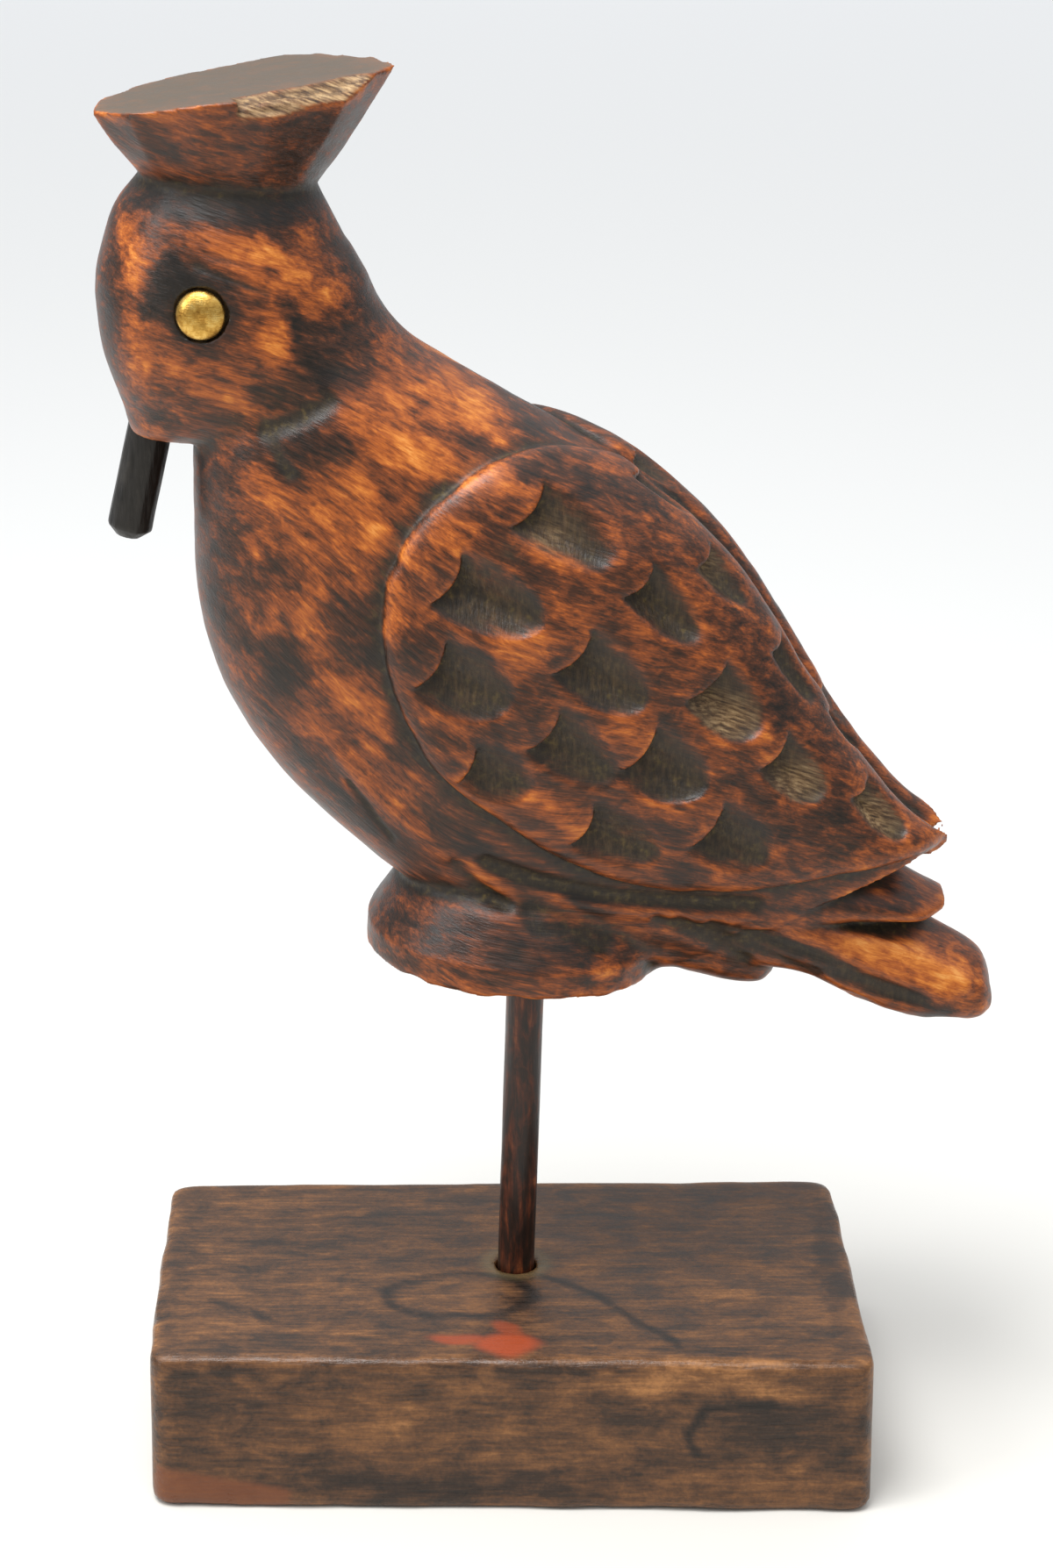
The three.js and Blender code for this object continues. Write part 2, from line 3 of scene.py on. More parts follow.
import bpy
import numpy as np
import openvdb as vdb
from mathutils import Matrix, Vector


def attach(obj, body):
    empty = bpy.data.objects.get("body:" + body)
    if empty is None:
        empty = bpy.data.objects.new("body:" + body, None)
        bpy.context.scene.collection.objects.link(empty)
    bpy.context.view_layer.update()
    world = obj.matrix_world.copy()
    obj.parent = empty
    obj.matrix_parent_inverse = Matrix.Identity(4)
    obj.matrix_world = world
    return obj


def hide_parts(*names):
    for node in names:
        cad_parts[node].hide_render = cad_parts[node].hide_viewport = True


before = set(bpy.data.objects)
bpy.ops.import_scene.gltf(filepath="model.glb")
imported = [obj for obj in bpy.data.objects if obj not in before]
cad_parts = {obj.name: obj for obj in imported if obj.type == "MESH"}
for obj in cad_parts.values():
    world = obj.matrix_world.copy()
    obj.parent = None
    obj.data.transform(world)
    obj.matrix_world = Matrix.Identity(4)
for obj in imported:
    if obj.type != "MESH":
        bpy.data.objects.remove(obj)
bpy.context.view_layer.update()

# Camera: level with a person leaning over a low table, looking down at the bird's left side
# through a long lens. Lengths in this file are in millimetres until MM turns them into metres.

MM = 0.001
CAMERA_PLACE = (1.8, -535.3, 318.9)
CAMERA_PITCH = 21.0
CAMERA_LENS = 81.05
SENSOR = 36.0

camera_data = bpy.data.cameras.new("camera")
camera_data.lens = CAMERA_LENS
camera_data.sensor_width = SENSOR
camera_data.clip_start = 0.01
camera = bpy.data.objects.new("camera", camera_data)
camera.location = Vector(CAMERA_PLACE) * MM
camera.rotation_euler = (math.radians(90 - CAMERA_PITCH), 0, 0)
bpy.context.scene.collection.objects.link(camera)
bpy.context.scene.camera = camera
bpy.context.scene.view_settings.view_transform = "Standard"

# Light: a white room that is brightest overhead, and a soft box above and to the left.

ROOM_LOW = 0.28
ROOM_HIGH = 1.35
SOFT_BOXES = [
    # name, place, aimed at, width, depth, watts
    ("overhead", (-170, -150, 720), (0, 0, 120), 420, 300, 4.6),
    ("left", (-560, -300, 460), (0, 0, 120), 200, 300, 1.2),
]

room = bpy.data.worlds.new("room")
room.use_nodes = True
nodes, links = room.node_tree.nodes, room.node_tree.links
direction = nodes.new("ShaderNodeTexCoord")
upward = nodes.new("ShaderNodeSeparateXYZ")
strength = nodes.new("ShaderNodeMapRange")
strength.inputs["To Min"].default_value = ROOM_LOW
strength.inputs["To Max"].default_value = ROOM_HIGH
links.new(direction.outputs["Generated"], upward.inputs[0])
links.new(upward.outputs["Z"], strength.inputs["Value"])
links.new(strength.outputs["Result"], nodes["Background"].inputs["Strength"])
nodes["Background"].inputs["Color"].default_value = (0.97, 0.985, 1.0, 1)
bpy.context.scene.world = room

for name, place, target, width, depth, watts in SOFT_BOXES:
    lamp_data = bpy.data.lights.new(name, "AREA")
    lamp_data.shape = "RECTANGLE"
    lamp_data.size = width * MM
    lamp_data.size_y = depth * MM
    lamp_data.energy = watts
    lamp = bpy.data.objects.new(name, lamp_data)
    lamp.location = Vector(place) * MM
    aim = (Vector(target) - Vector(place)).to_track_quat("-Z", "Y")
    lamp.rotation_euler = aim.to_euler()
    bpy.context.scene.collection.objects.link(lamp)

# Floor: a pale table top that runs back past the camera's view. Its colour is painted darker
# towards the front and lighter far back, as painted shade.

FLOOR_SIDE = 14000


def from_screen(red, green, blue):
    """A colour read off a screen, 0 to 255 a channel, as the linear values a shader takes."""
    return tuple(((v / 255 + 0.055) / 1.055) ** 2.4 if v > 10 else v / 3294.6 for v in (red, green, blue))


def add(tree, kind, inputs=None, **settings):
    """A new node with its settings, and its inputs set to values or joined to other nodes' sockets."""
    node = tree.nodes.new(kind)
    for key, value in settings.items():
        setattr(node, key, value)
    for key, value in (inputs or {}).items():
        if isinstance(value, bpy.types.NodeSocket):
            tree.links.new(value, node.inputs[key])
        else:
            node.inputs[key].default_value = value
    return node


def new_material(name):
    """An empty material with its principled shader joined to the output."""
    material = bpy.data.materials.new(name)
    material.use_nodes = True
    tree = material.node_tree
    tree.nodes.clear()
    shader = tree.nodes.new("ShaderNodeBsdfPrincipled")
    output = tree.nodes.new("ShaderNodeOutputMaterial")
    tree.links.new(shader.outputs["BSDF"], output.inputs["Surface"])
    return material, tree, shader


class Wood:
    """Nodes that a wood's material is made from, joined to one another by plain calls."""

    def __init__(self, tree):
        self.tree = tree
        place = add(tree, "ShaderNodeTexCoord").outputs["Object"]
        self.where = self.stretched(place, 1000, 1000, 1000)

    def value(self, name):
        return add(self.tree, "ShaderNodeAttribute", attribute_name=name).outputs["Fac"]

    def maths(self, operation, *values, clamp=False):
        return add(self.tree, "ShaderNodeMath", dict(enumerate(values)), operation=operation,
                   use_clamp=clamp).outputs[0]

    def stretched(self, vector, *scale):
        return add(self.tree, "ShaderNodeVectorMath", {0: vector, 1: scale}, operation="MULTIPLY").outputs[0]

    def noise(self, vector, scale, detail=3.0, roughness=0.55, distortion=0.0):
        return add(self.tree, "ShaderNodeTexNoise", {
            "Vector": vector, "Scale": scale, "Detail": detail, "Roughness": roughness,
            "Distortion": distortion}).outputs[0]

    def mixed(self, factor, first, second):
        """The second colour laid over the first by the factor."""
        node = add(self.tree, "ShaderNodeMix", data_type="RGBA")
        for socket, item in ((0, factor), (6, first), (7, second)):
            if isinstance(item, bpy.types.NodeSocket):
                self.tree.links.new(item, node.inputs[socket])
            else:
                node.inputs[socket].default_value = item if socket == 0 else (*item, 1)
        return node.outputs[2]

    def weighted(self, start, *terms):
        """A start value plus each source's distance from its middle times its weight."""
        total = start
        for source, weight, middle in terms:
            total = self.maths("MULTIPLY_ADD", self.maths("SUBTRACT", source, middle), weight, total)
        return total

    def bumped(self, height, depth_mm, strength=1.0):
        return add(self.tree, "ShaderNodeBump", {"Height": height, "Strength": strength,
                                                 "Distance": depth_mm * MM}).outputs["Normal"]


def mesh_object(name, points, faces, material):
    """A smooth-shaded object at the origin, from points in millimetres and faces of one size."""
    faces = np.asarray(faces, np.int32)
    mesh = bpy.data.meshes.new(name)
    mesh.vertices.add(len(points))
    mesh.vertices.foreach_set("co", (np.asarray(points, np.float32) * MM).ravel())
    mesh.loops.add(faces.size)
    mesh.loops.foreach_set("vertex_index", faces.ravel())
    mesh.polygons.add(len(faces))
    mesh.polygons.foreach_set("loop_start", np.arange(0, faces.size, faces.shape[1], dtype=np.int32))
    mesh.polygons.foreach_set("use_smooth", np.ones(len(faces), bool))
    mesh.materials.append(material)
    mesh.update(calc_edges=True)
    mesh.validate()
    thing = bpy.data.objects.new(name, mesh)
    bpy.context.scene.collection.objects.link(thing)
    return thing


def ramp(tree, factor, stops):
    """A colour ramp joined to a factor, with its stops given as position and screen colour."""
    node = add(tree, "ShaderNodeValToRGB", {"Fac": factor})
    elements = node.color_ramp.elements
    for place, colour in stops[2:]:
        elements.new(place)
    for element, (place, colour) in zip(sorted(elements, key=lambda e: e.position), sorted(stops)):
        element.position = place
        element.color = (*from_screen(*colour), 1)
    return node.outputs["Color"]


def make_floor():
    material, tree, shader = new_material("pale_table_painted_shade")
    where = add(tree, "ShaderNodeTexCoord")
    away = add(tree, "ShaderNodeSeparateXYZ", {0: where.outputs["Object"]})
    share = add(tree, "ShaderNodeMapRange", {"Value": away.outputs["Y"], "From Min": -0.35, "From Max": 1.6})
    # Painted shade: the table's colour darkens towards the camera and the bird, and lightens far back.
    tone = ramp(tree, share.outputs["Result"], [
        (0.0, (210, 204, 193)), (0.12, (216, 213, 206)), (0.3, (224, 224, 222)), (1.0, (238, 239, 240))])
    tree.links.new(tone, shader.inputs["Base Color"])
    shader.inputs["Roughness"].default_value = 0.6
    half = FLOOR_SIDE / 2
    corners = [(-half, -half, 0), (half, -half, 0), (half, half, 0), (-half, half, 0)]
    return mesh_object("floor", corners, [(0, 1, 2, 3)], material)


make_floor()

# Carved bird: one piece of close-grained wood, shaped with a knife and gouge, stained brown and
# worn by handling. It is built as a field of distances to the wood's surface, in which masses are
# run together and gouge strokes taken out, as a carver does, and then turned into a mesh.

GRAIN_STEP = 0.5
FIELD_LOW = (-68.0, -28.0, 70.0)
FIELD_HIGH = (82.0, 28.0, 236.0)
BAND = 8

# Each row is a section: low x, low z, high x, high z, half width, share of the way up where it
# is widest, and the squareness of the lower and the upper half, where 2 is round.
BODY_ROWS = [
    (-47.0, 191.0, -26.0, 201.0, 13.4, 0.5, 2.1, 2.1),
    (-48.8, 183.0, -21.4, 193.4, 16.0, 0.5, 2.2, 2.2),
    (-50.0, 174.5, -16.2, 187.3, 18.0, 0.5, 2.3, 2.3),
    (-50.4, 166.5, -9.4, 183.0, 19.8, 0.5, 2.3, 2.3),
    (-50.5, 157.5, -0.4, 177.6, 20.8, 0.5, 2.3, 2.4),
    (-50.4, 148.5, 8.3, 172.5, 21.6, 0.5, 2.3, 2.5),
    (-48.9, 139.5, 17.2, 167.1, 22.0, 0.5, 2.4, 2.7),
    (-46.0, 131.0, 25.2, 160.7, 22.2, 0.5, 2.4, 2.8),
    (-41.6, 123.0, 32.5, 153.1, 21.8, 0.5, 2.4, 2.8),
    (-35.8, 115.6, 38.9, 144.1, 21.2, 0.5, 2.5, 2.8),
    (-28.6, 108.4, 44.8, 134.3, 20.2, 0.5, 2.6, 2.8),
    (-20.0, 101.0, 50.6, 124.7, 19.2, 0.5, 2.7, 2.8),
    (-10.0, 94.6, 56.4, 116.7, 17.8, 0.5, 2.8, 2.8),
    (2.0, 89.4, 61.6, 110.6, 16.0, 0.5, 2.8, 2.8),
    (15.0, 86.0, 66.6, 106.7, 13.8, 0.5, 2.8, 2.8),
    (30.0, 85.4, 70.8, 104.0, 11.4, 0.5, 2.6, 2.6),
    (48.0, 90.0, 74.0, 102.2, 8.8, 0.5, 2.4, 2.4),
]
BODY_END = 0.9
HEAD_ROWS = [
    (-55.6, 217.0, -31.4, 215.6, 12.2, 0.5, 2.2, 2.2),
    (-57.2, 213.6, -30.4, 211.9, 12.8, 0.5, 2.2, 2.2),
    (-61.0, 209.0, -27.8, 206.4, 15.2, 0.5, 2.2, 2.2),
    (-62.9, 204.0, -25.3, 201.4, 16.8, 0.5, 2.2, 2.2),
    (-64.3, 198.2, -22.8, 196.8, 17.8, 0.5, 2.2, 2.2),
    (-64.4, 192.6, -21.6, 192.0, 18.2, 0.5, 2.2, 2.2),
    (-63.8, 187.0, -20.0, 188.0, 18.0, 0.5, 2.2, 2.2),
    (-62.4, 181.8, -20.6, 183.6, 17.2, 0.5, 2.2, 2.2),
    (-61.0, 177.6, -24.0, 179.2, 15.6, 0.5, 2.2, 2.2),
    (-60.2, 174.8, -30.0, 175.6, 13.2, 0.5, 2.4, 2.3),
    (-59.6, 173.6, -36.0, 173.4, 10.6, 0.5, 2.6, 2.4),
]
TAIL_ROWS = [
    (20.0, 88.0, 20.0, 104.0, 12.5, 0.55, 3.0, 2.0),
    (34.0, 84.6, 34.0, 102.0, 12.2, 0.5, 3.0, 2.0),
    (46.0, 83.2, 47.0, 98.0, 11.8, 0.48, 3.2, 1.7),
    (56.0, 78.4, 58.0, 94.6, 11.4, 0.46, 3.4, 1.6),
    (64.0, 75.4, 66.0, 91.0, 11.0, 0.42, 3.4, 1.6),
    (70.5, 74.6, 72.0, 87.6, 10.2, 0.4, 3.2, 1.7),
    (75.8, 74.0, 76.6, 84.0, 8.4, 0.42, 3.0, 1.9),
    (78.2, 74.8, 78.5, 79.6, 5.2, 0.45, 2.6, 2.0),
]
PRIMARY_ROWS = [
    (-6.0, 97.0, 4.0, 110.0, 16.5, 0.5, 2.2, 2.2),
    (8.0, 93.4, 14.0, 108.0, 16.4, 0.5, 2.4, 2.2),
    (22.0, 92.0, 26.0, 107.0, 15.2, 0.45, 2.6, 2.2),
    (36.0, 91.8, 40.0, 105.0, 13.6, 0.4, 2.8, 2.0),
    (50.0, 92.0, 53.0, 102.6, 11.8, 0.35, 2.8, 1.8),
    (60.0, 92.0, 62.0, 99.4, 10.0, 0.32, 2.8, 1.7),
    (66.0, 91.8, 67.4, 96.2, 8.0, 0.34, 2.6, 1.8),
    (69.4, 92.6, 70.4, 94.8, 4.6, 0.45, 2.2, 2.0),
]
VENT_ROWS = [
    (8.0, 87.4, 8.0, 97.0, 12.0, 0.6, 2.4, 2.2),
    (20.0, 84.2, 20.0, 95.0, 11.6, 0.6, 2.4, 2.2),
    (28.0, 82.5, 29.0, 93.0, 10.8, 0.6, 2.4, 2.2),
    (34.0, 80.7, 35.0, 91.0, 9.8, 0.6, 2.4, 2.2),
    (39.6, 79.9, 40.4, 88.0, 8.0, 0.6, 2.3, 2.2),
    (42.2, 81.4, 42.4, 86.0, 5.0, 0.5, 2.2, 2.2),
]

# Wing shields: side-view outline from the front edge over the top to the tip and back below.
WING_OUTLINE = [
    (-20.0, 149.5), (-18.8, 156.5), (-16.0, 162.0), (-11.0, 167.5), (-3.5, 171.9), (4.5, 172.7),
    (15.5, 169.2), (26.0, 162.0), (39.6, 144.5), (51.4, 125.2), (63.6, 110.6), (71.8, 105.6),
    (69.5, 104.8), (60.5, 104.2), (52.0, 103.6), (43.5, 102.4), (35.0, 101.7), (24.0, 102.3),
    (15.5, 104.4), (7.0, 108.5), (-1.0, 114.0), (-9.0, 120.2), (-14.6, 127.7), (-18.5, 136.7),
]
WING_CENTRE = (18, 134)
WING_RAISE = 2.5
WING_SINK = 4.5
WING_TOP_GAP = 3.2
WING_RING_CROWDING = 1.8
WING_FLATNESS = 14
WING_EDGE_ROUND = 0.45

# Feather cuts in each wing: x, z, length, width, slope in degrees below level, and depth.
FEATHER_CUTS = [
    (-11.0, 156.5, 18, 10.5, 28, 3.3), (-13.5, 143.0, 15.5, 11.5, 30, 2.8), (-8.0, 126.0, 12, 9.5, 22, 2.3),
    (1.0, 166.5, 18, 11, 38, 3.0), (17.0, 167.0, 14.5, 8.5, 38, 2.6), (18.0, 154.5, 15, 8, 45, 3.0),
    (8.5, 144.5, 15.5, 10, 40, 2.8), (27.5, 155.5, 12.5, 8, 44, 2.2), (4.0, 132.0, 15.5, 9.5, 37, 2.4),
    (29.0, 138.5, 13.5, 10.5, 48, 2.9), (18.5, 128.5, 14, 11, 37, 2.8), (39.0, 141.0, 13, 6.5, 49, 1.8),
    (39.5, 126.0, 12.5, 9, 42, 2.5), (48.0, 128.5, 9.5, 7, 48, 1.8), (10.0, 115.5, 14.5, 9, 26, 2.6),
    (29.5, 115.0, 13, 10.5, 33, 2.7), (53.0, 117.0, 12.5, 7, 46, 2.2),
]
CUT_DIVE = 0.06
FAR_CUT_STRAY = 0.8

# Cap on the head: corners of its hewn rim in plan, the tilt of its top, and the chip in its rim.
CAP_RIM = [
    (-17.9, -4.0), (-21.4, 6.5), (-30.0, 16.0), (-37.0, 18.8), (-46.0, 15.0), (-56.0, 6.5),
    (-61.8, -3.0), (-62.4, -14.0), (-56.5, -19.2), (-46.0, -20.6), (-34.5, -19.6), (-23.5, -14.0),
]
CAP_MIDDLE = (-41, 0)
CAP_TOP_Z = 227.4
CAP_TOP_SLOPE = 0.115
CAP_SIDE_SWELL = 0.025
CAP_WAIST_X, CAP_WAIST_Z = -43.5, 212.4
CAP_WAIST_SLOPE = -0.06
CAP_WAIST_HALF = (13.3, 12.6)
CHIP_CORNER = (-28.0, -18.0, 224.2)
CHIP_BEHIND = (-36.5, -15.5, 228.0)
CHIP_AHEAD = (-20.0, -9.5, 229.8)

# Collar under the belly: height and radius up its side, with its rim tilted down to the tail.
COLLAR_PROFILE = [(0, 23.6), (0.8, 24.3), (4.6, 24.3), (11.8, 20.0), (18, 14)]
COLLAR_CENTRE = (-0.5, 0, 85.2)
COLLAR_SIDE_SHARE = 0.93
COLLAR_SQUARENESS = 0.93
COLLAR_TILT = math.atan(0.086)


def spline(points, place, closed=False):
    """Points on the smooth curve through a row of points, at places from 0 to 1."""
    points = np.asarray(points, float)
    place = np.asarray(place, float)
    count = len(points)
    if closed:
        step = (place % 1) * count
        first = np.floor(step).astype(int)
        near = [points[(first + k) % count] for k in (-1, 0, 1, 2)]
    else:
        step = np.clip(place, 0, 1) * (count - 1)
        first = np.minimum(np.floor(step).astype(int), count - 2)
        longer = np.vstack([2 * points[0] - points[1], points, 2 * points[-1] - points[-2]])
        near = [longer[first + k] for k in (0, 1, 2, 3)]
    share = (step - first)[..., None]
    before, start, end, after = near
    leave, arrive = (end - before) / 2, (after - start) / 2
    return (start + leave * share + (3 * (end - start) - 2 * leave - arrive) * share**2
            + (2 * (start - end) + leave + arrive) * share**3)


def signed_power(value, power):
    return np.sign(value) * np.abs(value) ** power


def on_form(rows, along, turn, spread=1.0):
    """Points of a mass: along from 0 to 1, and turn 0 at the high edge, a quarter at the -Y side."""
    section = spline(rows, along)
    low, high = section[..., 0:2], section[..., 2:4]
    width, widest = section[..., 4], section[..., 5]
    upper = np.cos(turn) >= 0
    power = 2 / np.where(upper, section[..., 7], section[..., 6])
    rise = spread * signed_power(np.cos(turn), power) * np.where(upper, 1 - widest, widest)
    side = spread * signed_power(np.sin(turn), power)
    flat = low + (high - low) * (widest + rise)[..., None]
    return np.stack([flat[..., 0], -width * side, flat[..., 1]], -1)


def outward_at(rows, along, turn):
    step = 1e-3
    here = np.clip(along, step, 1 - step)
    lengthwise = on_form(rows, here + step, turn) - on_form(rows, here - step, turn)
    around = on_form(rows, here, turn + step) - on_form(rows, here, turn - step)
    outward = np.cross(around, lengthwise)
    return outward / np.linalg.norm(outward, axis=-1, keepdims=True)


def find_on_form(rows, x, z):
    """Where the side-view point (x, z) lies on a mass, as its place along and its turn."""
    near, far = 0.0, 1.0
    for _ in range(40):
        half = (near + far) / 2
        low_x, low_z, high_x, high_z = spline(rows, half)[:4]
        if (high_x - low_x) * (z - low_z) - (high_z - low_z) * (x - low_x) < 0:
            near = half
        else:
            far = half
    low_x, low_z, high_x, high_z, width, widest, below, above = spline(rows, near)
    span = np.array([high_x - low_x, high_z - low_z])
    share = np.dot([x - low_x, z - low_z], span) / np.dot(span, span)
    rise = (share - widest) / (1 - widest if share >= widest else widest)
    turn = math.acos(np.clip(signed_power(rise, (above if rise >= 0 else below) / 2), -1, 1))
    nearest_ridge = math.asin((WING_TOP_GAP / width) ** (above / 2))
    return near, max(turn, nearest_ridge)


def grid_faces(rows, columns, offset=0):
    """Triangles of a grid of points whose last column joins its first."""
    row, column = np.meshgrid(np.arange(rows - 1), np.arange(columns), indexing="ij")
    a = offset + row * columns + column
    b = offset + row * columns + (column + 1) % columns
    c, d = a + columns, b + columns
    return np.concatenate([np.stack([a, b, d], -1).reshape(-1, 3), np.stack([a, d, c], -1).reshape(-1, 3)])


def capped_tube(rings):
    """Points and triangles of a closed tube from rings of points, an array of ring by side by 3."""
    count, sides, _ = rings.shape
    points = np.concatenate([rings.reshape(-1, 3), rings[0].mean(0)[None], rings[-1].mean(0)[None]])
    first, last = count * sides, count * sides + 1
    side = np.arange(sides)
    after = (side + 1) % sides
    start = np.stack([np.full(sides, first), after, side], -1)
    end = (count - 1) * sides
    finish = np.stack([np.full(sides, last), end + side, end + after], -1)
    return points, np.concatenate([grid_faces(count, sides), start, finish])


def mass(rows, end=1.0, rings=90, sides=96):
    along, turn = np.meshgrid(np.linspace(0, end, rings), np.linspace(0, 2 * np.pi, sides, endpoint=False),
                              indexing="ij")
    return capped_tube(on_form(rows, along, turn))


class Field:
    """Signed distances to a surface on a grid of steps between two corners, in millimetres."""

    def __init__(self, low, high, step, band):
        self.step, self.band = step, band
        self.first = np.floor(np.array(low) / step).astype(int)
        self.shape = tuple(int(n) for n in np.ceil(np.array(high) / step).astype(int) - self.first + 1)
        self.space = vdb.createLinearTransform(step)

    def distance_to(self, solid):
        points, triangles = solid
        grid = vdb.FloatGrid.createLevelSetFromPolygons(
            np.ascontiguousarray(points, np.float32), triangles=np.ascontiguousarray(triangles, np.uint32),
            transform=self.space, halfWidth=float(self.band))
        values = np.empty(self.shape, np.float32)
        grid.copyToArray(values, ijk=tuple(int(n) for n in self.first))
        return values

    def lines(self):
        """The X, Y and Z of the grid's planes."""
        return [((self.first[k] + np.arange(self.shape[k])) * self.step).astype(np.float32) for k in range(3)]

    def mesh(self, values):
        """Points and triangles of the surface where the distance is nothing."""
        grid = vdb.FloatGrid(float(self.band * self.step))
        grid.transform = self.space
        grid.copyFromArray(np.ascontiguousarray(values), ijk=tuple(int(n) for n in self.first))
        points, triangles, quads = grid.convertToPolygons(isovalue=0.0, adaptivity=0.0)
        faces = [np.asarray(triangles, int).reshape(-1, 3)]
        quads = np.asarray(quads, int).reshape(-1, 4)
        faces += [quads[:, [0, 1, 2]], quads[:, [0, 2, 3]]]
        faces = np.concatenate(faces)
        points = np.asarray(points, float)
        corners = points[faces]
        volume = np.einsum("ij,ij->i", corners[:, 0], np.cross(corners[:, 1], corners[:, 2])).sum()
        return points, faces if volume > 0 else faces[:, ::-1]

    def sample(self, values, points):
        """A field's values at any points, read between the grid's points."""
        place = np.asarray(points) / self.step - self.first
        corner = np.clip(np.floor(place).astype(int), 0, np.array(self.shape) - 2)
        share = np.clip(place - corner, 0, 1)
        total = np.zeros(len(place))
        for dx in (0, 1):
            for dy in (0, 1):
                for dz in (0, 1):
                    weight = np.ones(len(place))
                    for axis, d in enumerate((dx, dy, dz)):
                        weight = weight * (share[:, axis] if d else 1 - share[:, axis])
                    total += weight * values[corner[:, 0] + dx, corner[:, 1] + dy, corner[:, 2] + dz]
        return total


def run_together(a, b, blend):
    """Two masses as one, with a fillet of about that many millimetres in the corner."""
    corner = np.maximum(blend - np.abs(a - b), 0) / blend
    return np.minimum(a, b) - corner**2 * blend / 4


def take_out(a, b, blend):
    return -run_together(-a, b, blend)


def wander(points, size, seed):
    """Smooth noise from -1 to 1 with lumps of about that size, the same on every run."""
    table = np.random.default_rng(seed).uniform(-1, 1, (32, 32, 32)).astype(np.float32)
    place = np.asarray(points, np.float32) / np.asarray(size, np.float32) + 1000
    cell = np.floor(place).astype(np.int32)
    share = place - cell
    share = share * share * (3 - 2 * share)
    total = np.zeros(len(place), np.float32)
    for dx in (0, 1):
        for dy in (0, 1):
            for dz in (0, 1):
                weight = ((share[:, 0] if dx else 1 - share[:, 0]) * (share[:, 1] if dy else 1 - share[:, 1])
                          * (share[:, 2] if dz else 1 - share[:, 2]))
                total += weight * table[(cell[:, 0] + dx) % 32, (cell[:, 1] + dy) % 32, (cell[:, 2] + dz) % 32]
    return total


def turned_to_grain(points, slope):
    """Points with X turned to run down the grain, which falls towards the tail by the slope."""
    down = math.radians(slope)
    x, y, z = np.moveaxis(np.asarray(points), -1, 0)
    return np.stack([x * math.cos(down) - z * math.sin(down), y, x * math.sin(down) + z * math.cos(down)], -1)


def near_line(points, line):
    """Distance in side view from each point to a line of (x, z) corners."""
    flat = np.asarray(points)[:, [0, 2]]
    best = np.full(len(flat), 1e9)
    for start, end in zip(np.array(line, float)[:-1], np.array(line, float)[1:]):
        span = end - start
        share = np.clip(((flat - start) @ span) / (span @ span), 0, 1)
        best = np.minimum(best, np.linalg.norm(flat - start - share[:, None] * span, axis=1))
    return best


def wing_solid(rings=60, sides=220):
    ring = spline([find_on_form(BODY_ROWS, x, z) for x, z in WING_OUTLINE],
                  np.linspace(0, 1, sides, endpoint=False), closed=True)
    middle = np.array(find_on_form(BODY_ROWS, *WING_CENTRE))
    shells = []
    tilt = np.linspace(0, np.pi, rings + 1)[1:-1]
    for angle in tilt:
        inward = 1 - (angle if angle <= np.pi / 2 else np.pi - angle) / (np.pi / 2)
        reach = 1 - inward**WING_RING_CROWDING
        fullness = max(0.0, 1 - reach**WING_FLATNESS) ** WING_EDGE_ROUND
        place = middle + (ring - middle) * reach
        height = fullness * (WING_RAISE if angle <= np.pi / 2 else -WING_SINK)
        outward = outward_at(BODY_ROWS, place[:, 0], place[:, 1])
        shells.append(on_form(BODY_ROWS, place[:, 0], place[:, 1]) + height * outward)
    return capped_tube(np.array(shells))


def mirrored(solid):
    points, triangles = solid
    return points * (1, -1, 1), triangles[:, ::-1]


def cap_solid(rings=24, per_side=12):
    rim = np.array(CAP_RIM, float)
    corners = np.concatenate([rim, rim[:1]])
    share = np.linspace(0, 1, per_side, endpoint=False)[:, None]
    edge = np.concatenate([a + (b - a) * share for a, b in zip(corners[:-1], corners[1:])])
    middle = np.array(CAP_MIDDLE, float)
    facing = np.arctan2(*(edge - middle).T[::-1])
    waist_x = CAP_WAIST_HALF[0] * np.cos(facing)
    waist = np.stack([CAP_WAIST_X + waist_x, CAP_WAIST_HALF[1] * np.sin(facing),
                      CAP_WAIST_Z + CAP_WAIST_SLOPE * waist_x], -1)
    top = np.column_stack([edge, CAP_TOP_Z + CAP_TOP_SLOPE * (edge[:, 0] - middle[0])])
    shells = []
    for up in np.linspace(0, 1, rings):
        place = waist + (top - waist) * up
        place[:, :2] += 4 * CAP_SIDE_SWELL * up * (1 - up) * (edge - middle)
        shells.append(place)
    return capped_tube(np.array(shells))


def collar_solid(sides=160):
    around = np.linspace(0, 2 * np.pi, sides, endpoint=False)
    heights, radii = zip(*COLLAR_PROFILE)
    shells = []
    for height in np.linspace(0, COLLAR_PROFILE[-1][0], 40):
        radius = np.interp(height, heights, radii)
        x = radius * signed_power(np.cos(around), COLLAR_SQUARENESS)
        y = COLLAR_SIDE_SHARE * radius * signed_power(np.sin(around), COLLAR_SQUARENESS)
        shells.append(np.stack([x, y, np.full(sides, height)], -1))
    turn = np.array(Matrix.Rotation(COLLAR_TILT, 3, "Y"))
    return capped_tube(np.array(shells) @ turn.T + COLLAR_CENTRE)


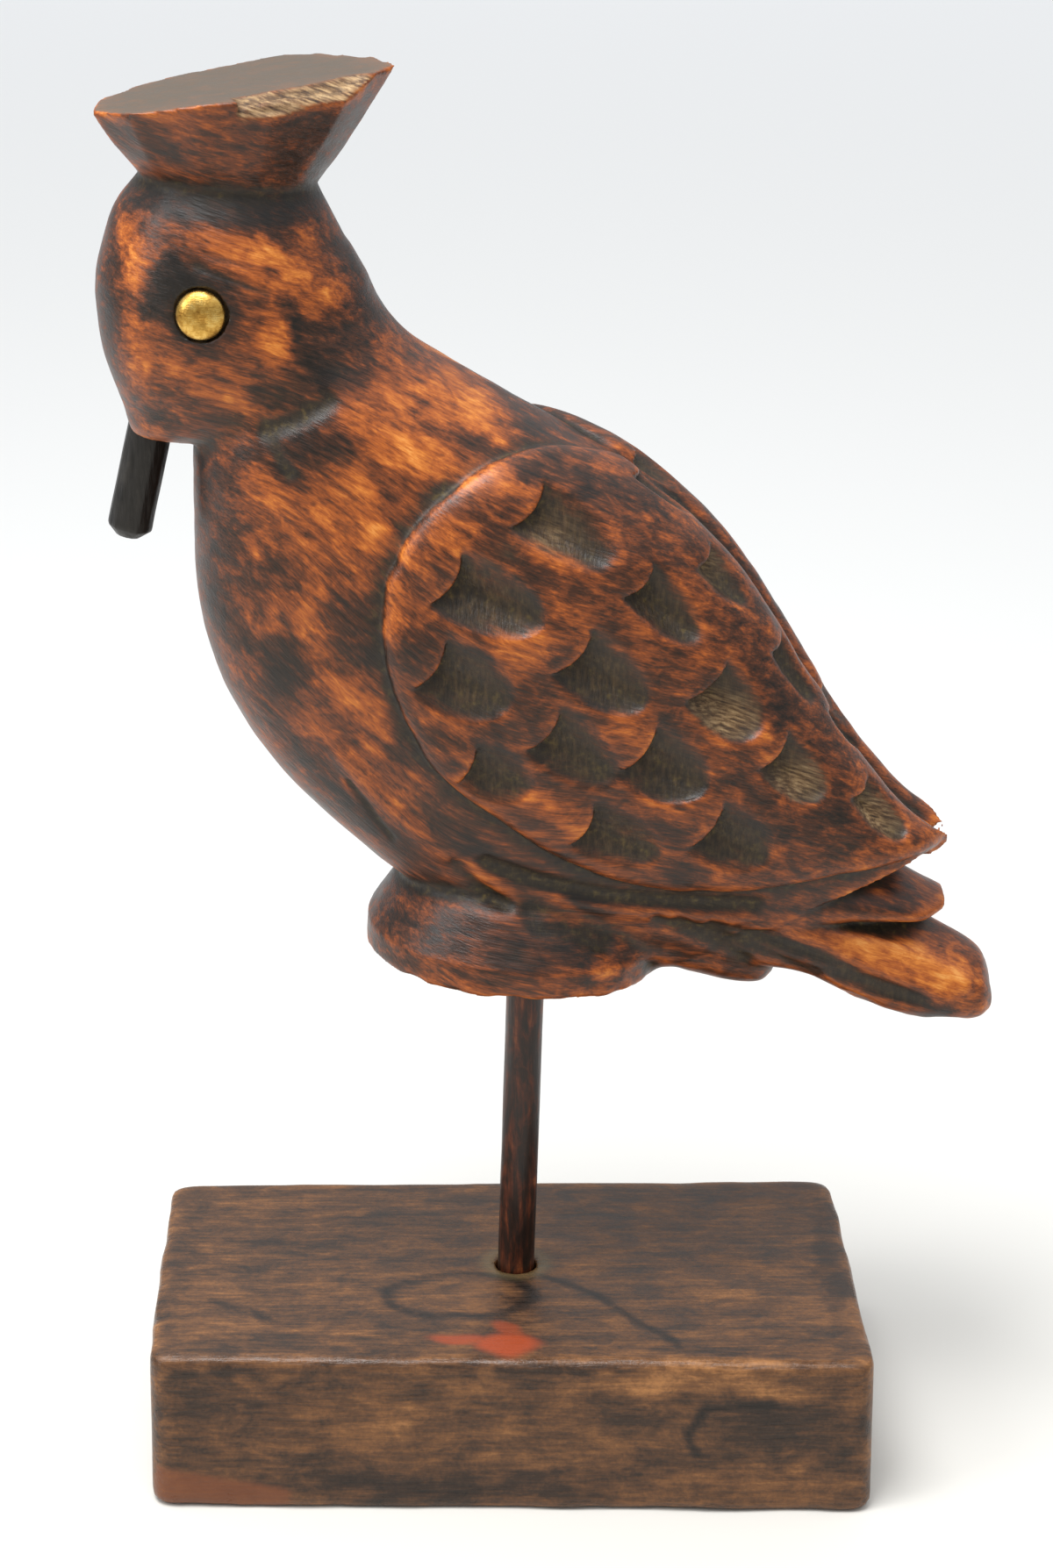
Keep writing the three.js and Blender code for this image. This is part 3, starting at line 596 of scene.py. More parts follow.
def feather_cutter_tree():
    """Nodes that set one gouge stroke at each point of a mesh, turned and sized by its attributes.

    A stroke is a ball pinched to a V below, and cut square to the rounded tip of the feather
    before it. Its lengths are in shares of the length, width and depth that each point carries.
    """
    tree = bpy.data.node_groups.new("feather_cutters", "GeometryNodeTree")
    face = tree.interface
    face.new_socket("Geometry", in_out="INPUT", socket_type="NodeSocketGeometry")
    for label, value in (("Stroke length", 0.72), ("Stroke width", 0.56), ("Stroke start", 0.28),
                         ("Pinch", 0.7), ("Lean", 0.16), ("Tip length", 0.56), ("Tip width", 0.86),
                         ("Tip sag", 0.12)):
        socket = face.new_socket(label, in_out="INPUT", socket_type="NodeSocketFloat")
        socket.default_value = value
    face.new_socket("Material", in_out="INPUT", socket_type="NodeSocketMaterial")
    face.new_socket("Geometry", in_out="OUTPUT", socket_type="NodeSocketGeometry")
    given = add(tree, "NodeGroupInput").outputs
    result = add(tree, "NodeGroupOutput")

    def maths(operation, *values):
        return add(tree, "ShaderNodeMath", dict(enumerate(values)), operation=operation).outputs[0]

    ball = add(tree, "GeometryNodeMeshUVSphere", {"Segments": 40, "Rings": 28, "Radius": 1.0})
    place = add(tree, "ShaderNodeSeparateXYZ", {0: add(tree, "GeometryNodeInputPosition").outputs[0]}).outputs
    depth = maths("MAXIMUM", maths("MULTIPLY", place["Z"], -1.0), 0.0)
    pinch = maths("MULTIPLY", maths("ABSOLUTE", place["Y"]), given["Pinch"])
    pinched = maths("MULTIPLY", place["Z"], maths("SUBTRACT", 1.0, pinch))
    leaning = maths("SUBTRACT", place["Y"], maths("MULTIPLY", depth, given["Lean"]))
    shape = add(tree, "ShaderNodeCombineXYZ", {"X": place["X"], "Y": leaning, "Z": pinched})
    gouge = add(tree, "GeometryNodeSetPosition", {"Geometry": ball.outputs["Mesh"],
                                                  "Position": shape.outputs[0]})
    stroke_size = add(tree, "ShaderNodeCombineXYZ", {"X": given["Stroke length"],
                                                     "Y": given["Stroke width"], "Z": 1.0})
    stroke_start = add(tree, "ShaderNodeCombineXYZ", {"X": given["Stroke start"]})
    stroke = add(tree, "GeometryNodeTransform", {"Geometry": gouge.outputs[0],
                                                 "Translation": stroke_start.outputs[0],
                                                 "Rotation": (0, CUT_DIVE, 0),
                                                 "Scale": stroke_size.outputs[0]})
    drum = add(tree, "GeometryNodeMeshCylinder", {"Vertices": 56, "Radius": 1.0, "Depth": 6.0})
    tip_size = add(tree, "ShaderNodeCombineXYZ", {"X": given["Tip length"], "Y": given["Tip width"], "Z": 1.0})
    tip_place = add(tree, "ShaderNodeCombineXYZ", {"X": maths("SUBTRACT", given["Tip sag"],
                                                              given["Tip length"])})
    tip = add(tree, "GeometryNodeTransform", {"Geometry": drum.outputs["Mesh"],
                                              "Translation": tip_place.outputs[0],
                                              "Scale": tip_size.outputs[0]})
    cutter = add(tree, "GeometryNodeMeshBoolean", {"Mesh 1": stroke.outputs[0], "Mesh 2": tip.outputs[0]},
                 operation="DIFFERENCE")
    turn = add(tree, "GeometryNodeInputNamedAttribute", {"Name": "turn"}, data_type="FLOAT_VECTOR")
    size = add(tree, "GeometryNodeInputNamedAttribute", {"Name": "size"}, data_type="FLOAT_VECTOR")
    spin = add(tree, "FunctionNodeEulerToRotation", {0: turn.outputs["Attribute"]})
    placed = add(tree, "GeometryNodeInstanceOnPoints", {"Points": given["Geometry"],
                                                        "Instance": cutter.outputs["Mesh"],
                                                        "Rotation": spin.outputs[0],
                                                        "Scale": size.outputs["Attribute"]})
    made = add(tree, "GeometryNodeRealizeInstances", {"Geometry": placed.outputs[0]})
    add(tree, "GeometryNodeSetMaterial", {"Geometry": made.outputs[0], "Material": given["Material"]})
    tree.links.new(tree.nodes[-1].outputs[0], result.inputs["Geometry"])
    return tree


def cut_frame(x, z, slope):
    """Place of a stroke on the wing, and the lines down the feather, across it and out of the wood."""
    along, turn = find_on_form(BODY_ROWS, x, z)
    outward = outward_at(BODY_ROWS, np.array(along), np.array(turn))
    place = on_form(BODY_ROWS, np.array(along), np.array(turn)) + WING_RAISE * outward
    down = math.radians(slope)
    lengthwise = np.array([math.cos(down), 0, -math.sin(down)])
    lengthwise = lengthwise - lengthwise.dot(outward) * outward
    lengthwise /= np.linalg.norm(lengthwise)
    return place, np.stack([lengthwise, np.cross(outward, lengthwise), outward], -1)


def feather_cutters(cuts):
    """All gouge strokes of one wing as one set of points and triangles, made by the node tree."""
    mesh = bpy.data.meshes.new("feather_marks")
    frames = [cut_frame(x, z, slope) for x, z, _, _, slope, _ in cuts]
    mesh.from_pydata([tuple(place) for place, _ in frames], [], [])
    turn = mesh.attributes.new("turn", "FLOAT_VECTOR", "POINT")
    turns = [tuple(Matrix(lines.tolist()).to_euler()) for _, lines in frames]
    turn.data.foreach_set("vector", np.array(turns, np.float32).ravel())
    size = mesh.attributes.new("size", "FLOAT_VECTOR", "POINT")
    sizes = [(length, width, depth) for _, _, length, width, _, depth in cuts]
    size.data.foreach_set("vector", np.array(sizes, np.float32).ravel())
    marks = bpy.data.objects.new("feather_marks", mesh)
    bpy.context.scene.collection.objects.link(marks)
    modifier = marks.modifiers.new("feather_cutters", "NODES")
    modifier.node_group = feather_cutter_tree()
    for item in modifier.node_group.interface.items_tree:
        if item.in_out == "INPUT" and item.name == "Material":
            modifier[item.identifier] = bird_material
    points, faces = plain_mesh(marks)
    bpy.data.objects.remove(marks)
    return points, faces


def plain_mesh(thing):
    """Points and triangles of an object as its modifiers leave it."""
    bpy.context.view_layer.update()
    made = bpy.data.meshes.new_from_object(thing.evaluated_get(bpy.context.evaluated_depsgraph_get()))
    thing.modifiers.clear()
    made.calc_loop_triangles()
    points = np.empty(len(made.vertices) * 3, np.float32)
    made.vertices.foreach_get("co", points)
    triangles = np.empty(len(made.loop_triangles) * 3, np.int32)
    made.loop_triangles.foreach_get("vertices", triangles)
    bpy.data.meshes.remove(made)
    return points.reshape(-1, 3), triangles.reshape(-1, 3)


def strayed(cut, number):
    """The far wing's strokes are cut by hand too, so none falls quite where its twin does."""
    x, z, length, width, slope, depth = cut
    return (x + FAR_CUT_STRAY * math.sin(5 * number), z + FAR_CUT_STRAY * math.cos(3 * number),
            length, width, slope, depth)


# Grooves and ridges run by the knife from the belly back to the tail, on both sides: height
# (a groove is below nothing), half width, and the points it passes on the near side.
RUNS = [
    (-1.1, 1.5, [(-4.5, -17.5, 106.5), (1.8, -17.5, 104.3), (8.8, -17.5, 102.3), (15.8, -16.9, 100.4),
                 (24.2, -16.3, 99.5), (38.3, -14.7, 98.4)]),
    (0.6, 1.6, [(7.4, -16.8, 100.7), (14.4, -16.6, 98.7), (24.3, -15.6, 97.1), (37.1, -13.6, 94.7),
                (51.5, -10.2, 91.7), (64.7, -8.5, 87.4), (73.5, -8.6, 82.0)]),
    (-0.9, 1.3, [(22.9, -15.5, 96.3), (30.1, -13.3, 92.1), (37.4, -10.6, 87.2)]),
    (-0.8, 1.2, [(26.4, -15.2, 96.0), (34.4, -11.9, 91.5), (43.0, -11.4, 87.3), (48.9, -10.3, 84.3)]),
    (-0.8, 1.3, [(31.4, -14.3, 95.0), (40.1, -12.0, 91.5), (50.1, -11.5, 87.6), (59.0, -10.2, 82.4)]),
    (0.5, 1.3, [(0.4, -17.3, 98.4), (7.4, -18.2, 95.2), (15.9, -15.4, 91.5), (24.6, -10.5, 87.2)]),
    (-0.9, 1.6, [(-9.3, -16.5, 106.1), (-3.8, -15.4, 100.4), (4.6, -18.4, 96.3), (14.5, -16.3, 92.2)]),
    (0.5, 1.8, [(-27.1, -17.6, 125.1), (-21.7, -17.3, 118.4), (-14.9, -16.9, 111.5), (-8.0, -16.3, 105.0),
                (0.4, -16.5, 99.3)]),
    (-0.9, 1.3, [(-37.6, -17.9, 177.5), (-32.6, -18.4, 179.4), (-28.2, -17.8, 181.9)]),
    (-0.5, 1.1, [(-37.6, -17.9, 177.5), (-36.0, -18.8, 174.5), (-34.1, -19.6, 171.2)]),
]
NEAR_SCRATCHES = [
    (-0.35, 0.5, [(-47.6, -16.6, 202.5), (-42.7, -17.1, 200.6), (-36.9, -16.6, 198.3)]),
    (-0.3, 0.5, [(-46.0, -16.6, 204.2), (-40.0, -17.0, 202.6)]),
    (-0.25, 0.45, [(-43.5, -17.0, 199.6), (-38.0, -17.0, 197.0)]),
    (-0.6, 0.45, [(-26.1, -16.6, 120.3), (-23.8, -16.2, 116.9), (-21.8, -15.5, 113.2), (-19.5, -14.8, 109.9)]),
]
# Hollows scooped under the lobes of the tail end: from, to and radius
COVES = [((46, -12.6, 86.6), (76, -12.6, 75.6), 2.6), ((34, -15.0, 94.0), (68, -15.0, 93.0), 2.4)]

FIT_GAP = 0.3
ROD_RADIUS = 3.2
ROD_LEAN = 0.031
ROD_IN_BLOCK = 12
ROD_TOP_Z = 96
BLOCK_HEIGHT = 25.8
PEG_RADIUS = 3.6
PEG_TOP = (-55.5, 0, 179.6)
PEG_TIP = (-61.2, 0, 155.7)
TACK_RADIUS = 3.8
TACK_DEPTH = 0.8
EYE_PLACE = (-47.0, 195.2)


def rod_at(z):
    return np.array([ROD_LEAN * (z - BLOCK_HEIGHT), 0.0, z])


def pin(foot, head, profile, sides=48):
    """A turned pin from foot to head: its profile is (distance up from the foot, radius) pairs."""
    foot, head = np.array(foot, float), np.array(head, float)
    axis = (head - foot) / np.linalg.norm(head - foot)
    ahead = np.cross((0, 1, 0), axis)
    ahead /= np.linalg.norm(ahead)
    aside = np.cross(axis, ahead)
    around = np.linspace(0, 2 * np.pi, sides, endpoint=False)
    wheel = np.cos(around)[:, None] * ahead + np.sin(around)[:, None] * aside
    return capped_tube(np.array([foot + axis * up + wheel * radius for up, radius in profile]))


def hole_for(foot, head, radius):
    """A bore that clears a pin by the fit gap round it and at both its ends."""
    foot, head = np.array(foot, float), np.array(head, float)
    axis = (head - foot) / np.linalg.norm(head - foot)
    foot, head = foot - axis * FIT_GAP, head + axis * FIT_GAP
    length = np.linalg.norm(head - foot)
    return pin(foot, head, [(0, radius + FIT_GAP), (length, radius + FIT_GAP)])


def eye_seat():
    """Middle of a tack's back, and the line straight out of the head there."""
    along, turn = find_on_form(HEAD_ROWS, *EYE_PLACE)
    outward = outward_at(HEAD_ROWS, np.array(along), np.array(turn))
    return on_form(HEAD_ROWS, np.array(along), np.array(turn)) - TACK_DEPTH * outward, outward


def near_run(points, run):
    """Distance from each point to a line of corners, with those of the far side taken as near."""
    folded = np.array(points, float)
    folded[:, 1] = -np.abs(folded[:, 1])
    best = np.full(len(folded), 1e9)
    corners = np.array(run, float)
    for start, end in zip(corners[:-1], corners[1:]):
        span = end - start
        share = np.clip(((folded - start) @ span) / (span @ span), 0, 1)
        best = np.minimum(best, np.linalg.norm(folded - start - share[:, None] * span, axis=1))
    return best


def knife_work(points):
    """Height in millimetres that the knife leaves above the plain form at each point."""
    x, y, z = points.T
    height = 0.16 * wander(points, 9, 11) + 0.07 * wander(points, 3.2, 12)
    for rise, width, run in RUNS:
        height += rise * np.exp(-(near_run(points, run) / width) ** 2)
    for rise, width, run in NEAR_SCRATCHES:
        height += np.where(y < 0, rise * np.exp(-(near_run(points, run) / width) ** 2), 0)
    for number, (cx, cz, length, width, slope, _) in enumerate(FEATHER_CUTS):
        for side, cut in ((-1, (cx, cz)), (1, strayed(FEATHER_CUTS[number], number)[:2])):
            place, lines = cut_frame(*cut, slope)
            local = (points * (1, -side, 1) - place) @ lines
            swell = np.exp(-((local[:, 0] + 0.32 * width) / (0.42 * width)) ** 2
                           - (local[:, 1] / (0.42 * width)) ** 2 - (local[:, 2] / 4) ** 2)
            height += np.where(y * side > 0, 0.45 * swell, 0)
    strokes = wander(turned_to_grain(points, 25) / (7, 7, 0.9), 1, 13)
    height += 0.045 * strokes
    rough = np.clip((89.5 - z) / 3, 0, 1) * np.clip((30 - x) / 6, 0, 1) + 0.8 * np.clip((x - 40) / 8, 0, 1) \
        * np.clip((84 - z) / 4, 0, 1)
    height += rough * 0.3 * wander(points, 2.4, 14)
    cap = np.clip((z - 214) / 2, 0, 1)
    height += cap * 0.14 * wander(points, (5, 5, 9), 15)
    return height


def chip_field(points):
    """Distance to the piece split off the cap's rim, whose break follows the torn fibres."""
    corner, behind, ahead = (np.array(p, float) for p in (CHIP_CORNER, CHIP_BEHIND, CHIP_AHEAD))
    lengthwise = (ahead - behind) / np.linalg.norm(ahead - behind)
    outward = np.cross(lengthwise, corner - behind)
    outward /= np.linalg.norm(outward)
    outward = outward if outward[1] < 0 else -outward
    across = np.cross(outward, lengthwise)
    local = points - (corner + behind + ahead) / 3
    along, wide, out = local @ lengthwise, local @ across, local @ outward
    fibres = wander(np.stack([along / 5, wide / 0.7, out / 3], -1), 1, 21)
    steps = wander(np.stack([along / 8, wide / 1.6, out / 4], -1), 1, 22)
    out = out + 0.25 * fibres + 0.5 * np.round(2 * steps) / 2
    hollow = np.exp(-((points[:, 0] + 25) / 5) ** 2 - ((points[:, 2] - 228.4) / 2.2) ** 2)
    out = out + 1.6 * hollow
    return np.maximum(np.maximum(-out, np.abs(along) - 13), np.abs(wide) - 10)


field = Field(FIELD_LOW, FIELD_HIGH, GRAIN_STEP, BAND)
bird_material, tree, shader = new_material("bird_wood")


def carve_bird():
    """The bird's field of distances, and the same before its feathers were cut."""
    wood = field.distance_to(mass(BODY_ROWS, BODY_END, rings=160, sides=160))
    wood = run_together(wood, field.distance_to(mass(HEAD_ROWS)), 2.2)
    wood = run_together(wood, field.distance_to(mass(VENT_ROWS)), 1.6)
    wood = run_together(wood, field.distance_to(mass(TAIL_ROWS)), 1.0)
    wood = run_together(wood, field.distance_to(mass(PRIMARY_ROWS)), 0.8)
    wood = run_together(wood, field.distance_to(collar_solid()), 1.6)
    wood = run_together(wood, field.distance_to(cap_solid()), 0.8)
    wing = wing_solid()
    wood = run_together(wood, field.distance_to(wing), 0.7)
    wood = run_together(wood, field.distance_to(mirrored(wing)), 0.7)
    axes = np.meshgrid(*field.lines(), indexing="ij", sparse=True)
    near = np.nonzero(np.abs(wood) < BAND * GRAIN_STEP - 0.2)
    points = np.stack([axes[k].ravel()[near[k]] for k in range(3)], -1).astype(np.float32)
    shallow = np.abs(wood[near]) < 2
    uncut = wood.copy()
    cuts = field.distance_to(feather_cutters(FEATHER_CUTS))
    far_cuts = feather_cutters([strayed(cut, number) for number, cut in enumerate(FEATHER_CUTS)])
    cuts = np.minimum(cuts, field.distance_to(mirrored(far_cuts)))
    wood = take_out(wood, cuts, 0.4)
    band = wood[near]
    band[shallow] -= knife_work(points[shallow])
    for start, end, radius in COVES:
        start, end = np.array(start, float), np.array(end, float)
        folded = points * (1, -1, 1) * np.sign(points[:, 1:2]) * (1, 1, 1)
        folded = np.stack([points[:, 0], -np.abs(points[:, 1]), points[:, 2]], -1)
        span = end - start
        share = np.clip(((folded - start) @ span) / (span @ span), 0, 1)
        away = np.linalg.norm(folded - start - share[:, None] * span, axis=1)
        scoop = away - radius * np.sqrt(np.clip(4 * share * (1 - share), 0, 1))
        band = take_out(band, scoop.astype(np.float32), 0.6)
    band = take_out(band, chip_field(points).astype(np.float32), 0.25)
    wood[near] = band
    rod_foot = rod_at(COLLAR_CENTRE[2] - ROD_IN_BLOCK)
    wood = take_out(wood, field.distance_to(hole_for(rod_foot, rod_at(ROD_TOP_Z), ROD_RADIUS)), 0.3)
    wood = take_out(wood, field.distance_to(hole_for(PEG_TIP, PEG_TOP, PEG_RADIUS)), 0.3)
    seat, outward = eye_seat()
    bore = pin(seat - FIT_GAP * outward, seat + 6 * outward, [(0, TACK_RADIUS + FIT_GAP),
                                                             (6, TACK_RADIUS + FIT_GAP)])
    eyes = np.minimum(field.distance_to(bore), field.distance_to(mirrored(bore)))
    return take_out(wood, eyes, 0.3), uncut


# Where the stain has worn through to amber (above nothing) or lies thick and dark (below it), as
# x, z, length, width and slope in degrees of each brush-like patch seen from the side, and tone.
# Some dark patches are painted shade: the head's shadow on the neck, the shadow under the wing's
# lower edge and the shaded side of the tail.
NEAR_WEAR_AND_SHADE = [
    (-57.4, 203, 12, 4, 80, 0.5), (-57, 189, 13, 5, 85, 0.3), (-42, 205.4, 12, 5, 12, 0.55),
    (-35, 202.5, 9, 4, 20, 0.45), (-39.4, 199.7, 7, 3, 20, 0.4), (-31.1, 197.7, 9, 7, 25, 0.6),
    (-36.3, 191.7, 5, 8, 10, 0.5), (-45.8, 183.6, 11, 5, 25, 0.5), (-39, 181, 9, 3, 25, 0.45),
    (-52, 187, 8, 6, 60, 0.3), (-51.5, 179.9, 6, 3, 10, 0.4), (-30, 205, 9, 9, 60, 0.15),
    (-50.6, 201, 6, 5, 50, -0.9), (-54.5, 197.5, 5, 7, 0, -0.8), (-46, 201.3, 8, 2.5, 15, -0.6),
    # Painted shadow with dark stain: (-27.5, 188.5) and (-24.6, 199) here, (-33, 184.5) below, and (-30, 173.5) and
    # (-35, 177) further down darken the neck where the head's shadow falls.
    (-33.3, 194.3, 7, 3, 85, -0.7), (-27.5, 188.5, 15, 8, 60, -0.5), (-24.6, 199, 18, 5, 65, -0.3),
    (-33, 184.5, 15, 6, -32, -0.5), (-53.5, 178.6, 6, 4, 0, -0.6), (-62, 195, 34, 4, 92, -0.3),
    (-44, 210.6, 34, 4, 4, -0.55), (-18.2, 183.4, 8, 4, 30, 0.4), (-8.9, 180, 12, 5, 25, 0.5),
    (-18, 175, 14, 5, 20, 0.5), (-3.6, 177.1, 10, 4, 25, 0.45), (-11.5, 172.6, 12, 5, 20, 0.45),
    (-22, 180, 11, 6, 25, 0.3), (-5.6, 175.3, 6, 3, 30, -0.4), (3, 175, 10, 3, 25, -0.4),
    (-30, 173.5, 13, 7, -30, -0.5), (-35, 177, 16, 4, -25, -0.5), (-25.6, 167, 14, 9, 50, 0.5),
    (-34.5, 163, 10, 7, 60, 0.35), (-27.4, 157.8, 11, 6, 50, 0.5), (-38.2, 168, 8, 6, 60, 0.25),
    (-19.8, 161, 8, 5, 40, 0.35), (-34, 148.5, 14, 6, -48, 0.35), (-29.5, 142.5, 14, 6, 55, 0.4),
    (-45.8, 161, 24, 6, 88, -0.3), (-45.2, 147, 14, 6, 62, -0.4), (-35, 140.6, 9, 8, 45, -0.6),
    (-40.4, 154, 10, 5, 70, -0.25), (-23, 146, 24, 6, 66, -0.45), (-25, 134, 10, 5, 50, 0.4),
    (-30, 130, 14, 4, 52, 0.3), (-20, 122, 12, 5, 48, 0.4), (-12, 115, 12, 5, 45, 0.35),
    (-33, 124, 20, 4, 52, -0.4), (-22.5, 112.5, 16, 4, 46, -0.4), (-8, 111, 18, 4, 40, -0.5),
    (-3.8, 103.6, 12, 3.5, 45, 0.45), (7.6, 98.9, 12, 3.5, 35, 0.45), (16.6, 94.3, 9, 3.5, 30, 0.55),
    (24.6, 94.8, 16, 3.5, 22, 0.45), (4.8, 103, 12, 3, 32, -0.45), (12, 100, 16, 2.5, 20, -0.4),
    (58.8, 88, 16, 5, 24, 0.45), (67.6, 85.2, 14, 5, 24, 0.5), (73, 82, 8, 4, 24, 0.35),
    # Painted shade: (49.6, 86.3) and (66, 78.6) here darken the tail's side below its ridge.
    (52, 90.4, 14, 3.5, 20, 0.35), (49.6, 86.3, 20, 3, 28, -0.5), (66, 78.6, 18, 3.5, 20, -0.5),
    # Painted shadow: (53, 96.5) here darkens the groove under the wing's lower edge.
    (53, 96.5, 26, 3.5, 4, -0.35), (-15.6, 158.8, 6, 4, 20, 0.45), (-18.4, 150.4, 3, 12, 0, 0.4),
    (-3.6, 123.4, 15, 5, 30, 0.35), (4.6, 118.2, 13, 4, 30, 0.35), (15.6, 112.5, 15, 4, 20, 0.4),
    (24, 116.4, 10, 4, 30, 0.3), (0.4, 145.4, 10, 9, 45, 0.6), (7.4, 158.3, 11, 4, 25, 0.4),
    (36.5, 110.4, 12, 3, 15, 0.25), (18.4, 131.8, 8, 6, 45, 0.35), (-3.6, 169.6, 16, 3, 8, 0.45),
    (-9.2, 163, 7, 6, 30, 0.45), (8, 151, 14, 3, 35, 0.3), (-12, 158, 8, 3, 25, -0.3),
    (-14.4, 145, 8, 9, 30, -0.4), (1.8, 133.6, 9, 6, 60, -0.4), (-12, 127, 9, 7, 40, -0.3),
    (31.8, 136.8, 8, 5, 45, -0.3), (41, 133.4, 9, 5, 45, -0.35), (26.4, 120.2, 10, 5, 30, -0.25),
    (48, 113, 22, 7, 12, -0.3), (12, 168, 22, 4, 20, -0.35), (-12, 89.6, 5, 3, 10, 0.45),
    (2.6, 87.4, 9, 3, 5, 0.45), (14.4, 88.8, 4, 5, 0, 0.5), (-2, 92, 40, 9, 5, -0.2),
    (-42.5, 221, 18, 8, 4, 0.25), (-55, 219.5, 8, 8, 30, -0.2), (-29, 219.5, 14, 12, -50, -0.3),
]
# The cap top and other broad zones: x, z, reach and tone, felt on both sides
BROAD_TONES = [
    (-42, 196, 20, 0.1), (-36, 160, 22, 0.06), (-42, 220, 14, -0.2), (18, 140, 34, -0.12),
    (0, 90, 24, -0.16), (62, 84, 16, 0.08), (-14, 178, 14, 0.15),
]
RAW_WOOD = [
    (33.5, 131, 5, 3.5, 0.8), (30.2, 134, 4, 2, 0.6), (44.6, 120, 4.5, 3, 0.7), (56.2, 111.8, 5, 3.5, 0.8),
    (29, 155, 3, 3, 0.4), (5.6, 161.6, 3, 2, 0.4), (-2, 160, 2.5, 1.5, 0.6),
]
MOSS_DIRT = [(-11, 168.3, 7, 2.2, 1.0), (-16.6, 162, 4, 3, 0.7), (1, 172.6, 6, 1.8, 0.5), (-21, 156, 3, 5, 0.4)]


def brushed(points, marks, seed, ragged):
    """Sum of brush-like patches at each point, their edges made ragged by that many millimetres."""
    warp_x = ragged * wander(points, 4.5, seed) + 0.45 * ragged * wander(points, 1.6, seed + 1)
    warp_z = ragged * wander(points, 4.5, seed + 2) + 0.45 * ragged * wander(points, 1.6, seed + 3)
    x, z = points[:, 0] + warp_x, points[:, 2] + warp_z
    total = np.zeros(len(points))
    for cx, cz, length, width, slope, tone in marks:
        down = math.radians(slope)
        along = (x - cx) * math.cos(down) - (z - cz) * math.sin(down)
        across = (x - cx) * math.sin(down) + (z - cz) * math.cos(down)
        spot = np.clip(1 - (2 * along / length) ** 2 * 0.7 - (2 * across / width) ** 2 * 0.7, 0, 1)
        total += tone * np.sqrt(spot)
    return total


def blurred(values, reach):
    """A field smoothed by a box of 2 * reach + 1 steps a side."""
    for axis in range(3):
        ends = [(reach + 1, reach) if k == axis else (0, 0) for k in range(3)]
        total = np.cumsum(np.pad(values, ends, mode="edge"), axis=axis, dtype=np.float64)
        wide = 2 * reach + 1
        upper = np.take(total, range(wide, total.shape[axis]), axis=axis)
        lower = np.take(total, range(0, total.shape[axis] - wide), axis=axis)
        values = ((upper - lower) / wide).astype(np.float32)
    return values


def grain_flow(points):
    """Points turned so that X runs the way the brush and knife went, which veers over the bird."""
    x, y, z = points.T
    steep = np.exp(-((x + 34) ** 2 + (z - 152) ** 2) / 900)
    belly = np.exp(-((x + 14) ** 2 + (z - 112) ** 2) / 500)
    slope = np.radians(20 + 24 * steep + 22 * belly)
    middle_x, middle_z = x + 10, z - 150
    return np.stack([middle_x * np.cos(slope) - middle_z * np.sin(slope), y,
                     middle_x * np.sin(slope) + middle_z * np.cos(slope)], -1)


def set_attribute(mesh, name, values):
    values = np.asarray(values, np.float32)
    kind, field_name = ("FLOAT", "value") if values.ndim == 1 else ("FLOAT_VECTOR", "vector")
    mesh.attributes.new(name, kind, "POINT").data.foreach_set(field_name, values.ravel())


def thinned(points, faces, target):
    """The same surface with about that many triangles, fewest where it is flattest."""
    draft = mesh_object("draft", points, faces, bird_material)
    thinning = draft.modifiers.new("thinning", "DECIMATE")
    thinning.ratio = min(1.0, target / len(faces))
    points, faces = plain_mesh(draft)
    bpy.data.objects.remove(draft)
    return points / MM, faces


